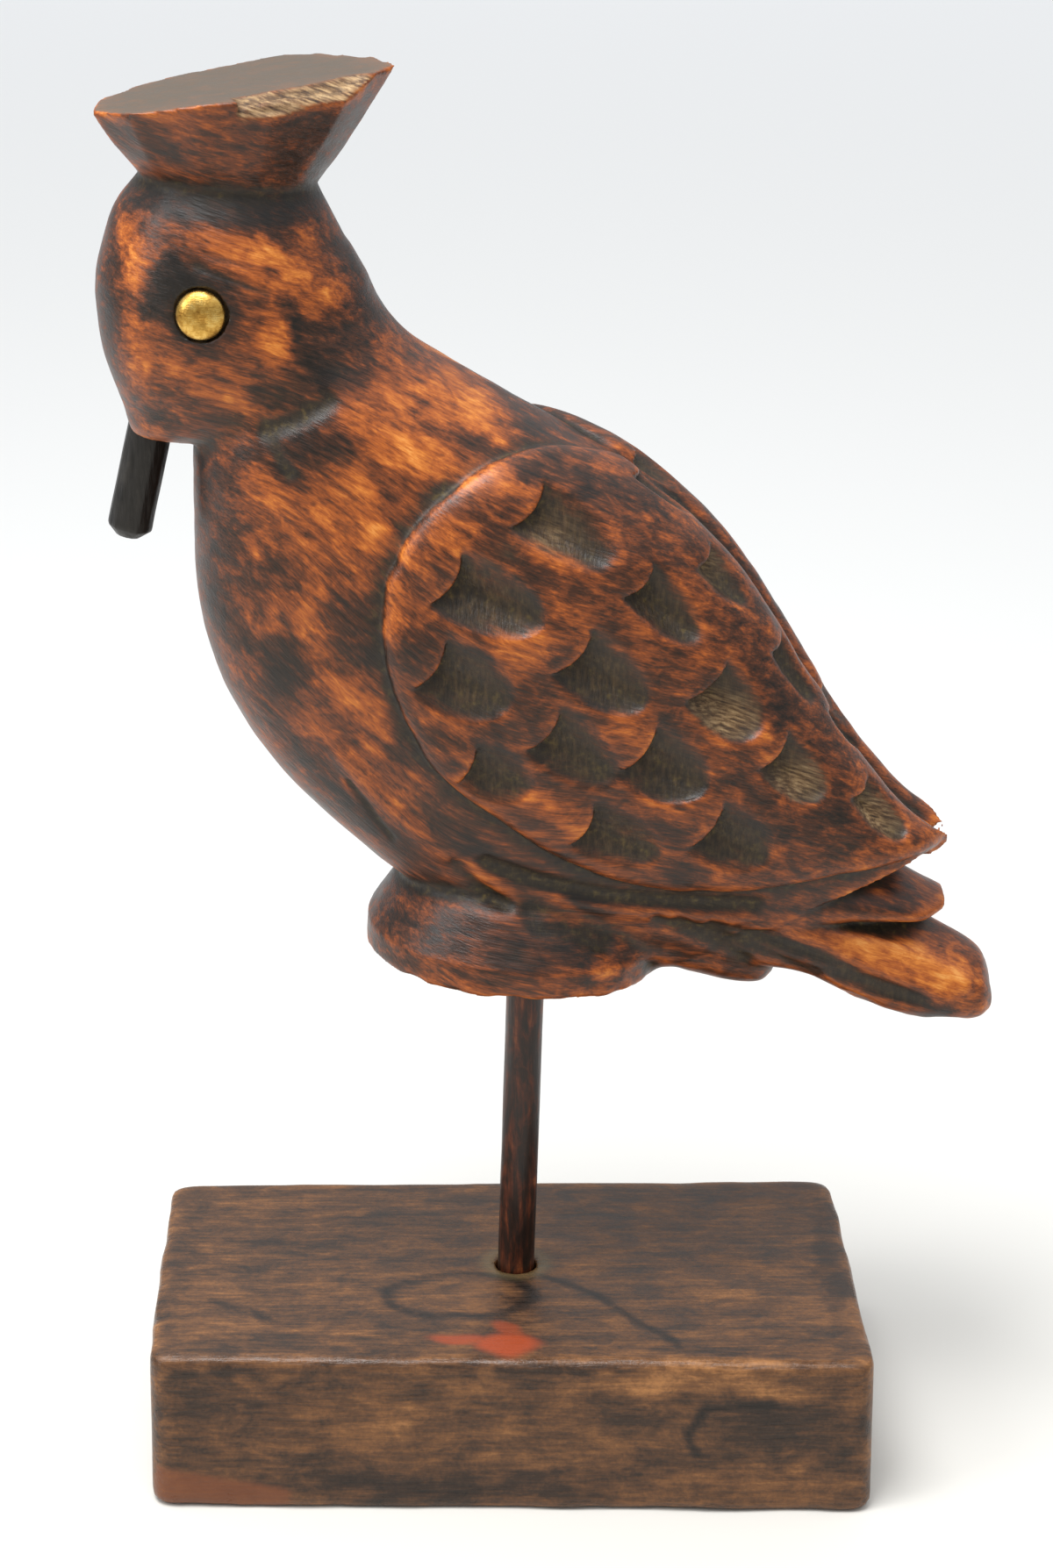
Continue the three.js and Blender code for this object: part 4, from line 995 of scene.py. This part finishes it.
def paint_bird(bird, points, wood, uncut):
    """Per-point values the material reads: tone, depth in a cut, edge, raw wood, dark hollows and dirt, cap top."""
    mesh = bird.data
    normal = np.empty(len(points) * 3, np.float32)
    mesh.vertices.foreach_get("normal", normal)
    normal = normal.reshape(-1, 3)
    x, y, z = points.T
    near = 1 / (1 + np.exp(np.clip(y / 1.5, -30, 30)))
    marks = near * brushed(points, NEAR_WEAR_AND_SHADE, 31, 1.1)
    marks += (1 - near) * 0.8 * brushed(points * (1, -1, 1) + (3, 0, -2), NEAR_WEAR_AND_SHADE, 41, 4.5)
    for cx, cz, reach, tone in BROAD_TONES:
        marks += tone * np.exp(-((x - cx) ** 2 + (z - cz) ** 2) / reach**2)
    depth = np.clip(-field.sample(uncut, points) / 2.2, 0, 1)
    fine = blurred(wood, 2)
    broad = blurred(wood, 5)
    edge = np.clip(field.sample(fine, points) * 5, -1, 1)
    hollow = np.clip(-field.sample(broad, points) * 1.4, 0, 1)
    ridge = np.clip(field.sample(broad, points) * 1.4, 0, 1)
    eye, _ = eye_seat()
    from_eye = np.linalg.norm(points * (1, 1, 1) - np.array(eye) * (1, 1, 1), axis=1)
    from_far_eye = np.linalg.norm(points * (1, -1, 1) - np.array(eye), axis=1)
    ring = np.exp(-(np.clip(np.minimum(from_eye, from_far_eye) - 4.2, 0, 9) / 1.5) ** 2)
    marks -= 0.9 * ring
    # Painted shade: in the front half, surfaces that face along the bird's length are darkened.
    front = np.clip((np.abs(normal[:, 0]) - 0.75) * 3, 0, 1) * (x < 0)
    marks -= 0.25 * front
    raw = np.zeros(len(points))
    for cx, cz, wide, tall, amount in RAW_WOOD:
        spot = np.exp(-((x - cx) / wide) ** 2 - ((z - cz) / tall) ** 2)
        raw = np.maximum(raw, amount * spot * np.clip(depth * 3, 0, 1))
    chip = np.clip(1 - np.abs(chip_field(points)) / 0.35, 0, 1) * np.clip((z - 216) / 2, 0, 1)
    # Darker and olive-brown in broad hollows, and moss dirt in the spots listed in MOSS_DIRT.
    hollow_dark_and_dirt = hollow.copy()
    for cx, cz, wide, tall, amount in MOSS_DIRT:
        spot = np.exp(-((x - cx) / wide) ** 2 - ((z - cz) / tall) ** 2) * np.clip(hollow * 4, 0, 1)
        hollow_dark_and_dirt = np.maximum(hollow_dark_and_dirt, amount * spot)
    # The cap's upward-facing top, which the material turns a dusty grey-brown: partly dust, partly a painted sheen.
    top = np.clip((normal[:, 2] - 0.8) * 6, 0, 1) * np.clip((z - 218) / 2, 0, 1) * (1 - chip)
    set_attribute(mesh, "tone", marks)
    set_attribute(mesh, "depth", depth)
    set_attribute(mesh, "edge", edge)
    set_attribute(mesh, "ridge", ridge)
    set_attribute(mesh, "raw", np.maximum(raw, chip))
    set_attribute(mesh, "hollow_dark_and_dirt", hollow_dark_and_dirt)
    set_attribute(mesh, "cap_top_dust_and_sheen", top)
    set_attribute(mesh, "flow", grain_flow(points))


def dress_bird_wood():
    """Stain, wear, grain, polish, painted shade and sheen of the bird, from per-point values and noise in millimetres.
    """
    wood = Wood(tree)
    where = wood.where
    flow = add(tree, "ShaderNodeAttribute", attribute_name="flow").outputs["Vector"]
    depth, edge, ridge = wood.value("depth"), wood.value("edge"), wood.value("ridge")
    hollow_dark_and_dirt, raw, cap_top_dust_and_sheen = wood.value("hollow_dark_and_dirt"), wood.value("raw"), wood.value("cap_top_dust_and_sheen")
    blotches = wood.noise(where, 0.13, 4.0, 0.6, 0.6)
    patches = wood.noise(wood.stretched(flow, 0.6, 1, 1.3), 0.33, 4.0, 0.65, 0.8)
    streaks = wood.noise(wood.stretched(flow, 0.2, 1, 1.4), 0.75, 4.0, 0.65, 0.3)
    hairs = wood.noise(wood.stretched(flow, 0.3, 1, 2.2), 2.2, 2.0, 0.6)
    tone = wood.weighted(0.37, (wood.value("tone"), 0.38, 0), (blotches, 0.5, 0.5), (patches, 0.75, 0.5),
                         (streaks, 0.65, 0.5), (hairs, 0.35, 0.5), (ridge, 0.1, 0), (edge, 0.12, 0),
                         (depth, -0.2, 0), (hollow_dark_and_dirt, -0.25, 0))
    stain = ramp(tree, tone, [
        (0.0, (14, 9, 6)), (0.16, (32, 19, 11)), (0.32, (66, 34, 16)), (0.46, (112, 55, 22)),
        (0.62, (160, 82, 28)), (0.8, (200, 118, 44)), (1.0, (222, 158, 82))])
    in_cut = ramp(tree, wood.noise(wood.stretched(where, 1.6, 1, 0.35), 1.0, 3.0), [
        (0.3, (34, 26, 17)), (0.5, (66, 50, 31)), (0.72, (112, 86, 54))])
    worn_cut = wood.mixed(wood.maths("MULTIPLY", depth, 0.55, clamp=True), stain, in_cut)
    # Hollows and the moss dirt are mixed towards a dark olive-brown.
    hollow_and_dirt_colour = ramp(tree, wood.noise(where, 0.9, 3.0), [
        (0.3, (22, 17, 12)), (0.55, (54, 44, 26)), (0.8, (110, 92, 44))])
    hollow_and_dirt_mixed = wood.mixed(wood.maths("MULTIPLY", hollow_dark_and_dirt, 0.75, clamp=True), worn_cut, hollow_and_dirt_colour)
    pale = ramp(tree, wood.noise(wood.stretched(flow, 0.3, 1, 2.5), 1.1, 4.0), [
        (0.3, (38, 26, 17)), (0.45, (98, 72, 46)), (0.62, (160, 130, 92)), (0.8, (196, 170, 130))])
    split = wood.mixed(raw, hollow_and_dirt_mixed, pale)
    # Dust and painted sheen: the cap's top is mixed towards a grey-brown.
    dusty = wood.mixed(wood.maths("MULTIPLY", cap_top_dust_and_sheen, 0.85), split, from_screen(84, 72, 58))
    tree.links.new(dusty, shader.inputs["Base Color"])
    gloss = wood.weighted(0.36, (streaks, 0.3, 0.5), (patches, 0.25, 0.5), (depth, 0.05, 0), (hollow_dark_and_dirt, 0.25, 0),
                          (raw, 0.3, 0))
    tree.links.new(wood.maths("MAXIMUM", gloss, 0.2), shader.inputs["Roughness"])
    shader.inputs["Specular IOR Level"].default_value = 0.42
    fibres = wood.noise(wood.stretched(flow, 0.12, 1, 1.8), 1.6, 4.0, 0.6)
    hatch = wood.noise(wood.stretched(where, 2.2, 1, 0.3), 0.9, 3.0, 0.6)
    relief = wood.maths("ADD", wood.maths("MULTIPLY", fibres, 0.5),
                        wood.maths("MULTIPLY", wood.maths("MULTIPLY", hatch, depth), 1.4))
    tree.links.new(wood.bumped(relief, 0.18), shader.inputs["Normal"])


wood_field, uncut_field = carve_bird()
points, faces = thinned(*field.mesh(wood_field), 185000)
bird = mesh_object("carved_bird_wood", points, faces, bird_material)
paint_bird(bird, points, wood_field, uncut_field)
dress_bird_wood()
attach(bird, "root")
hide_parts("carved_bird")

# Eye tacks: upholstery tacks with a pressed brass head, driven in through the stain. Handling has
# dulled them, and the hammer has left a shallow dent off the middle of each.

TACK_DOME = 2.1
TACK_RIM = 0.35


def tack_head():
    """One tack's head as rings from the middle of its back over the rim to the top of the dome."""
    seat, outward = eye_seat()
    upward = np.array([0.0, 0.0, 1.0]) - outward[2] * outward
    upward /= np.linalg.norm(upward)
    aside = np.cross(upward, outward)
    around = np.linspace(0, 2 * np.pi, 64, endpoint=False)
    rings = [(0.4, 0.0), (TACK_RADIUS - 0.5, 0.0), (TACK_RADIUS - 0.1, 0.08), (TACK_RADIUS, TACK_RIM)]
    for lift in np.linspace(0.06, 0.985, 22) * np.pi / 2:
        rings.append((TACK_RADIUS * math.cos(lift), TACK_RIM + (TACK_DOME - TACK_RIM) * math.sin(lift)))
    shells = []
    for radius, height in rings:
        across, up = radius * np.cos(around), radius * np.sin(around)
        dent = 0.16 * np.exp(-((across - 0.5) ** 2 + (up + 0.9) ** 2) / 0.9) if height > TACK_RIM else 0.0
        flat = 0.07 * np.exp(-((across + 1.3) ** 2 + (up - 0.4) ** 2) / 2.2) if height > TACK_RIM else 0.0
        shells.append(seat + across[:, None] * aside + up[:, None] * upward
                      + (height - dent - flat)[..., None] * outward if height > TACK_RIM
                      else seat + across[:, None] * aside + up[:, None] * upward + height * outward)
    return capped_tube(np.array(shells))


def make_brass():
    material, tree, shader = new_material("dulled_brass")
    brass = Wood(tree)
    tarnish = brass.noise(brass.where, 0.55, 4.0, 0.6)
    specks = brass.noise(brass.where, 2.4, 3.0, 0.6)
    scratches = brass.noise(brass.stretched(brass.where, 0.5, 1, 3.5), 2.0, 2.0)
    age = brass.weighted(0.5, (tarnish, 1.6, 0.5), (specks, 0.5, 0.5), (scratches, 0.4, 0.5))
    colour = ramp(tree, age, [
        (0.1, (112, 78, 34)), (0.35, (168, 126, 58)), (0.6, (206, 164, 84)), (0.9, (226, 192, 116))])
    tree.links.new(colour, shader.inputs["Base Color"])
    shader.inputs["Metallic"].default_value = 1.0
    tree.links.new(brass.weighted(0.3, (age, -0.25, 0.5), (scratches, 0.2, 0.5)), shader.inputs["Roughness"])
    tree.links.new(brass.bumped(scratches, 0.04), shader.inputs["Normal"])
    return material


brass_material = make_brass()
for node, solid in (("left_eye_tack", tack_head()), ("right_eye_tack", mirrored(tack_head()))):
    tack = mesh_object(node + "_head", *solid, brass_material)
    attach(tack, "root")
    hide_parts(node)

# Beak peg: a turned peg of hard wood, stained near black, its end chamfered with a knife. It is
# driven up into the chin and leans forward.

PEG_CHAMFER = 1.5
PEG_FLATS = 12


def beak_peg():
    """The peg with the faint flats its maker pared along it."""
    length = np.linalg.norm(np.subtract(PEG_TOP, PEG_TIP))
    profile = [(0, 0.6), (0, PEG_RADIUS - PEG_CHAMFER - 0.1), (0.1, PEG_RADIUS - PEG_CHAMFER)]
    profile += [(PEG_CHAMFER - 0.1, PEG_RADIUS - 0.12), (PEG_CHAMFER + 0.1, PEG_RADIUS - 0.03)]
    profile += [(up, PEG_RADIUS) for up in np.linspace(PEG_CHAMFER + 0.6, length - 0.2, 70)]
    profile += [(length, PEG_RADIUS - 0.2)]
    points, faces = pin(PEG_TIP, PEG_TOP, profile, sides=96)
    foot, head = np.array(PEG_TIP), np.array(PEG_TOP)
    axis = (head - foot) / length
    up = (points - foot) @ axis
    out = points - foot - up[:, None] * axis
    reach = np.linalg.norm(out, axis=1)
    angle = np.arctan2(out[:, 1], out @ np.cross((0, 1, 0), axis))
    flat = np.cos(np.pi / PEG_FLATS) / np.cos((angle + 9) % (2 * np.pi / PEG_FLATS) - np.pi / PEG_FLATS)
    worn = 1 - 0.6 * (1 - flat) - 0.012 * (1 + wander(points, (2.5, 2.5, 5), 51))
    share = np.where(reach > 0.5, worn, 1)
    return points - out * (1 - share)[:, None], faces


def make_blackened_wood():
    material, tree, shader = new_material("blackened_wood")
    wood = Wood(tree)
    lengthwise = add(tree, "ShaderNodeMapping", {"Vector": wood.where, "Rotation": (0, -0.235, 0),
                                                 "Scale": (1, 1, 0.16)}).outputs[0]
    streaks = wood.noise(lengthwise, 1.3, 4.0, 0.6)
    smears = wood.noise(wood.where, 0.35, 3.0)
    colour = ramp(tree, wood.weighted(0.4, (streaks, 0.9, 0.5), (smears, 0.7, 0.5)), [
        (0.2, (16, 14, 12)), (0.5, (30, 27, 24)), (0.7, (48, 45, 40)), (0.9, (84, 80, 72))])
    tree.links.new(colour, shader.inputs["Base Color"])
    tree.links.new(wood.weighted(0.42, (streaks, 0.5, 0.5)), shader.inputs["Roughness"])
    shader.inputs["Specular IOR Level"].default_value = 0.4
    tree.links.new(wood.bumped(streaks, 0.15), shader.inputs["Normal"])
    return material


peg = mesh_object("beak_peg_wood", *beak_peg(), make_blackened_wood())
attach(peg, "root")
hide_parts("beak_peg")

# Mounting rod: a length of thin dowel, stained with the rest and rubbed by fingers. It leans back
# a little, and is driven into the block and into the bird.


def mounting_rod():
    foot, head = rod_at(BLOCK_HEIGHT - ROD_IN_BLOCK), rod_at(ROD_TOP_Z)
    length = np.linalg.norm(head - foot)
    profile = [(0, 1.0), (0, ROD_RADIUS - 0.3), (0.3, ROD_RADIUS - 0.02)]
    profile += [(up, ROD_RADIUS) for up in np.linspace(0.8, length - 0.8, 160)]
    profile += [(length - 0.3, ROD_RADIUS - 0.02), (length, ROD_RADIUS - 0.3)]
    points, faces = pin(foot, head, profile, sides=80)
    middle = np.stack([ROD_LEAN * (points[:, 2] - BLOCK_HEIGHT), 0 * points[:, 2], points[:, 2]], -1)
    out = points - middle
    uneven = 0.05 * (1 + wander(points, (4, 4, 12), 61)) + 0.03 * (1 + wander(points, (0.9, 0.9, 6), 62))
    side = np.linalg.norm(out[:, :2], axis=1) > 1.5
    return points - out / ROD_RADIUS * (uneven * side)[:, None], faces


def make_rod_stain():
    material, tree, shader = new_material("rod_stain")
    wood = Wood(tree)
    lengthwise = wood.stretched(wood.where, 1, 1, 0.1)
    streaks = wood.noise(lengthwise, 1.2, 4.0, 0.6)
    patches = wood.noise(wood.stretched(wood.where, 1, 1, 0.45), 0.3, 4.0, 0.65, 0.5)
    height = add(tree, "ShaderNodeSeparateXYZ", {0: wood.where}).outputs["Z"]
    upper = add(tree, "ShaderNodeMapRange", {"Value": height, "From Min": 55.0, "From Max": 80.0}).outputs[0]
    tone = wood.weighted(0.34, (streaks, 0.9, 0.5), (patches, 1.2, 0.5), (upper, 0.12, 0))
    colour = ramp(tree, tone, [
        (0.1, (20, 13, 10)), (0.32, (40, 24, 17)), (0.5, (78, 38, 22)), (0.68, (124, 66, 34)),
        (0.9, (170, 104, 58))])
    tree.links.new(colour, shader.inputs["Base Color"])
    tree.links.new(wood.weighted(0.36, (patches, 0.4, 0.5)), shader.inputs["Roughness"])
    shader.inputs["Specular IOR Level"].default_value = 0.42
    tree.links.new(wood.bumped(streaks, 0.12), shader.inputs["Normal"])
    return material


rod = mesh_object("mounting_rod_wood", *mounting_rod(), make_rod_stain())
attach(rod, "root")
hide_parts("mounting_rod")

# Plinth block: a sawn piece of close brown wood, squared with an adze and left a little out of
# true, with a flake gone from its lower left front. It is stained thinly, and dusty on top.

BLOCK_STEP = 0.7
BLOCK_PLAN = [(-60.2, -32.8), (58.8, -34.6), (56.6, 31.6), (-61.8, 29.6)]
BLOCK_FRONT_LEAN = 4
BLOCK_EDGE = 1.6
BLOCK_CORNER = 4.0
FLAKE_CORNER = (-37.0, -37.0, 8.0)
KNOT = (-9.0, -11.8, 12.0, 7.2)
# Stain marks as length along X, then Y on the top or Z on the front, then length, width, slope, tone
TOP_MARKS = [
    (-51, -9, 14, 7, 0, 0.3), (-50, -22, 16, 8, 0, 0.25), (-44, -17, 12, 2, 20, -0.3),
    (-30, 10, 40, 14, 0, -0.15), (-35, -28, 40, 7, 0, -0.15), (30, -8, 40, 12, 0, 0.12),
    (50, -18, 12, 14, 60, 0.25), (54, 0, 5, 40, 0, -0.35), (20, 22, 60, 8, 0, -0.15),
    (-58, 0, 4, 50, 0, -0.2), (6, 6, 14, 6, 0, 0.25), (28, -32, 40, 3, 0, 0.2), (-3, -26, 8, 12, 0, -0.2),
]
TOP_LINES = [
    (-0.7, 0.8, [(4.5, -4.8), (13, -11), (19.4, -19), (26.5, -28)]),
    (-0.35, 0.7, [(-45, -17), (-51, -14), (-42, -19)]),
]
RED_SPOTS = [(-1.8, -27.8, 4.5, 3.2, 1.0), (-9.5, -26.2, 3.6, 1.6, 0.8), (-1.5, -22.5, 1.8, 2.2, 0.6)]
FRONT_MARKS = [
    (30, 22, 30, 5, 0, 0.55), (-26, 14, 40, 9, 0, 0.25), (-12, 19, 30, 4, 0, 0.2), (2, 9, 20, 3, 0, 0.3),
    (40, 5.5, 34, 5, 0, 0.3), (20, 13, 20, 4, 0, 0.15), (-15, 3, 60, 5, 0, -0.35), (46, 15, 26, 9, 0, -0.35),
    (-52, 16, 18, 14, 0, -0.15), (-48, 23.5, 16, 2, 0, -0.3), (8, 24, 30, 2.5, 0, -0.3),
]
FRONT_LINES = [(-0.8, 0.7, [(42, 19.4), (31, 18.2), (28, 13.4), (30, 10)])]


def hewn_block():
    """The block's field of distances: six hewn faces, the flake, and the hole for the rod."""
    space = Field((-64, -41, -2), (62, 35, 28), BLOCK_STEP, BAND)
    axes = np.meshgrid(*space.lines(), indexing="ij")
    points = np.stack([a.ravel() for a in axes], -1)
    x, y, z = points.T
    lean = np.where(y < 0, BLOCK_FRONT_LEAN * (1 - z / BLOCK_HEIGHT), 0)
    sides = []
    for start, end in zip(BLOCK_PLAN, BLOCK_PLAN[1:] + BLOCK_PLAN[:1]):
        span = np.subtract(end, start)
        out = np.array([span[1], -span[0]]) / np.linalg.norm(span)
        sides.append((x - start[0]) * out[0] + (y + lean - start[1]) * out[1])
    walls = sides[0]
    for side in sides[1:]:
        walls = take_out(walls, -side, BLOCK_CORNER)
    flat = np.maximum(z - BLOCK_HEIGHT, -z)
    beside = np.exp(-(walls / 2.2) ** 2)
    hewn = walls + 0.35 + 0.3 * wander(points, (9, 9, 30), 71) + 0.12 * wander(points, (3.5, 3.5, 14), 72)
    level = flat + 0.08 + 0.1 * wander(points, (16, 16, 16), 73) + 0.5 * beside * np.maximum(
        wander(points, (6, 6, 6), 74), 0)
    wood = take_out(hewn, -level, BLOCK_EDGE)
    flake = np.maximum(x - FLAKE_CORNER[0] - 1.2 * wander(points, (3, 3, 2), 75),
                       z - FLAKE_CORNER[2] + 0.16 * (x + 60))
    set_back = 37.4 + y - 0.09 * (8 - z) - 0.25 * wander(points / (6, 1, 0.8), 1, 76)
    wood = take_out(wood, np.maximum(flake, set_back), 0.5)
    wood = wood.reshape(space.shape).astype(np.float32)
    bore = hole_for(rod_at(BLOCK_HEIGHT - ROD_IN_BLOCK), rod_at(BLOCK_HEIGHT + 10), ROD_RADIUS)
    return space, take_out(wood, space.distance_to(bore), 0.4)


def lined(flat_points, lines):
    """Sum of thin painted lines at points given by their two flat lengths."""
    total = np.zeros(len(flat_points))
    for tone, width, line in lines:
        corners = np.array(line, float)
        best = np.full(len(flat_points), 1e9)
        for start, end in zip(corners[:-1], corners[1:]):
            span = end - start
            share = np.clip(((flat_points - start) @ span) / (span @ span), 0, 1)
            best = np.minimum(best, np.linalg.norm(flat_points - start - share[:, None] * span, axis=1))
        total += tone * np.exp(-(best / width) ** 2)
    return total


def paint_block(block, points, space, wood):
    mesh = block.data
    normal = np.empty(len(points) * 3, np.float32)
    mesh.vertices.foreach_get("normal", normal)
    normal = normal.reshape(-1, 3)
    x, y, z = points.T
    on_top = np.clip((normal[:, 2] - 0.6) * 4, 0, 1)
    on_front = np.clip((-normal[:, 1] - 0.6) * 4, 0, 1)
    wobble = np.stack([wander(points, 5, 81), wander(points, 5, 82)], -1) * 0.8
    laid = np.stack([x, 0 * x, y], -1)
    tone = on_top * (brushed(laid, TOP_MARKS, 83, 2.5) + lined(laid[:, [0, 2]] + wobble, TOP_LINES))
    tone += on_front * (brushed(points, FRONT_MARKS, 87, 2.0) + lined(points[:, [0, 2]] + wobble, FRONT_LINES))
    eye_x, eye_y, eye_long, eye_wide = KNOT
    reach = np.hypot((x + wobble[:, 0] - eye_x) / eye_long, (y + wobble[:, 1] - eye_y) / eye_wide)
    tone += on_top * (0.3 * (reach < 1) * (1 - reach) - 0.75 * np.exp(-((reach - 1) / 0.1) ** 2))
    foot = np.hypot(x, y)
    dust = np.exp(-((foot - 4.6) / 1.5) ** 2) * on_top
    red = np.zeros(len(points))
    for cx, cy, long, wide, amount in RED_SPOTS:
        spot = np.clip(1.4 - np.hypot((x + 1.4 * wobble[:, 0] - cx) / long, (y + 1.4 * wobble[:, 1] - cy) / wide), 0, 1)
        red = np.maximum(red, amount * np.clip(spot * 2, 0, 1) * on_top)
    flake = np.clip((-36.5 - x) / 1, 0, 1) * np.clip((7.6 - z - 0.16 * (x + 60)) / 0.8, 0, 1) * (y < -34)
    edge = np.clip(space.sample(blurred(wood, 2), points) * 3, -1, 1)
    set_attribute(mesh, "tone", tone)
    set_attribute(mesh, "edge", edge)
    set_attribute(mesh, "dust", dust)
    set_attribute(mesh, "red", red)
    set_attribute(mesh, "flake", flake)


def make_block_stain():
    material, tree, shader = new_material("block_stain")
    wood = Wood(tree)
    long = wood.stretched(wood.where, 0.12, 1, 1)
    bands = wood.noise(long, 0.35, 4.0, 0.6, 0.4)
    streaks = wood.noise(wood.stretched(wood.where, 0.1, 1, 1), 1.6, 4.0, 0.6)
    mottle = wood.noise(wood.stretched(wood.where, 0.5, 1, 1), 0.22, 5.0, 0.65, 0.6)
    specks = wood.noise(wood.where, 1.5, 3.0, 0.6)
    edge = wood.value("edge")
    tone = wood.weighted(0.42, (wood.value("tone"), 0.45, 0), (bands, 0.5, 0.5), (streaks, 0.5, 0.5),
                         (mottle, 0.9, 0.5), (specks, 0.3, 0.5), (edge, 0.15, 0))
    colour = ramp(tree, tone, [
        (0.05, (26, 19, 14)), (0.28, (52, 36, 25)), (0.45, (82, 54, 33)), (0.62, (112, 74, 42)),
        (0.85, (158, 108, 62))])
    red = wood.mixed(wood.value("red"), colour, from_screen(150, 62, 26))
    flaked = wood.mixed(wood.maths("MULTIPLY", wood.value("flake"), 0.7), red, from_screen(112, 62, 34))
    dusty = wood.mixed(wood.maths("MULTIPLY", wood.value("dust"), 0.6), flaked, from_screen(96, 86, 58))
    tree.links.new(dusty, shader.inputs["Base Color"])
    tree.links.new(wood.weighted(0.4, (mottle, 0.5, 0.5), (streaks, 0.3, 0.5), (edge, -0.1, 0)),
                   shader.inputs["Roughness"])
    shader.inputs["Specular IOR Level"].default_value = 0.42
    relief = wood.weighted(0.0, (streaks, 1.0, 0.5), (specks, 0.4, 0.5))
    tree.links.new(wood.bumped(relief, 0.16), shader.inputs["Normal"])
    return material


block_space, block_field = hewn_block()
block_material = make_block_stain()
points, faces = thinned(*block_space.mesh(block_field), 90000)
block = mesh_object("plinth_block_wood", points, faces, block_material)
paint_block(block, points, block_space, block_field)
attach(block, "root")
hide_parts("plinth_block")
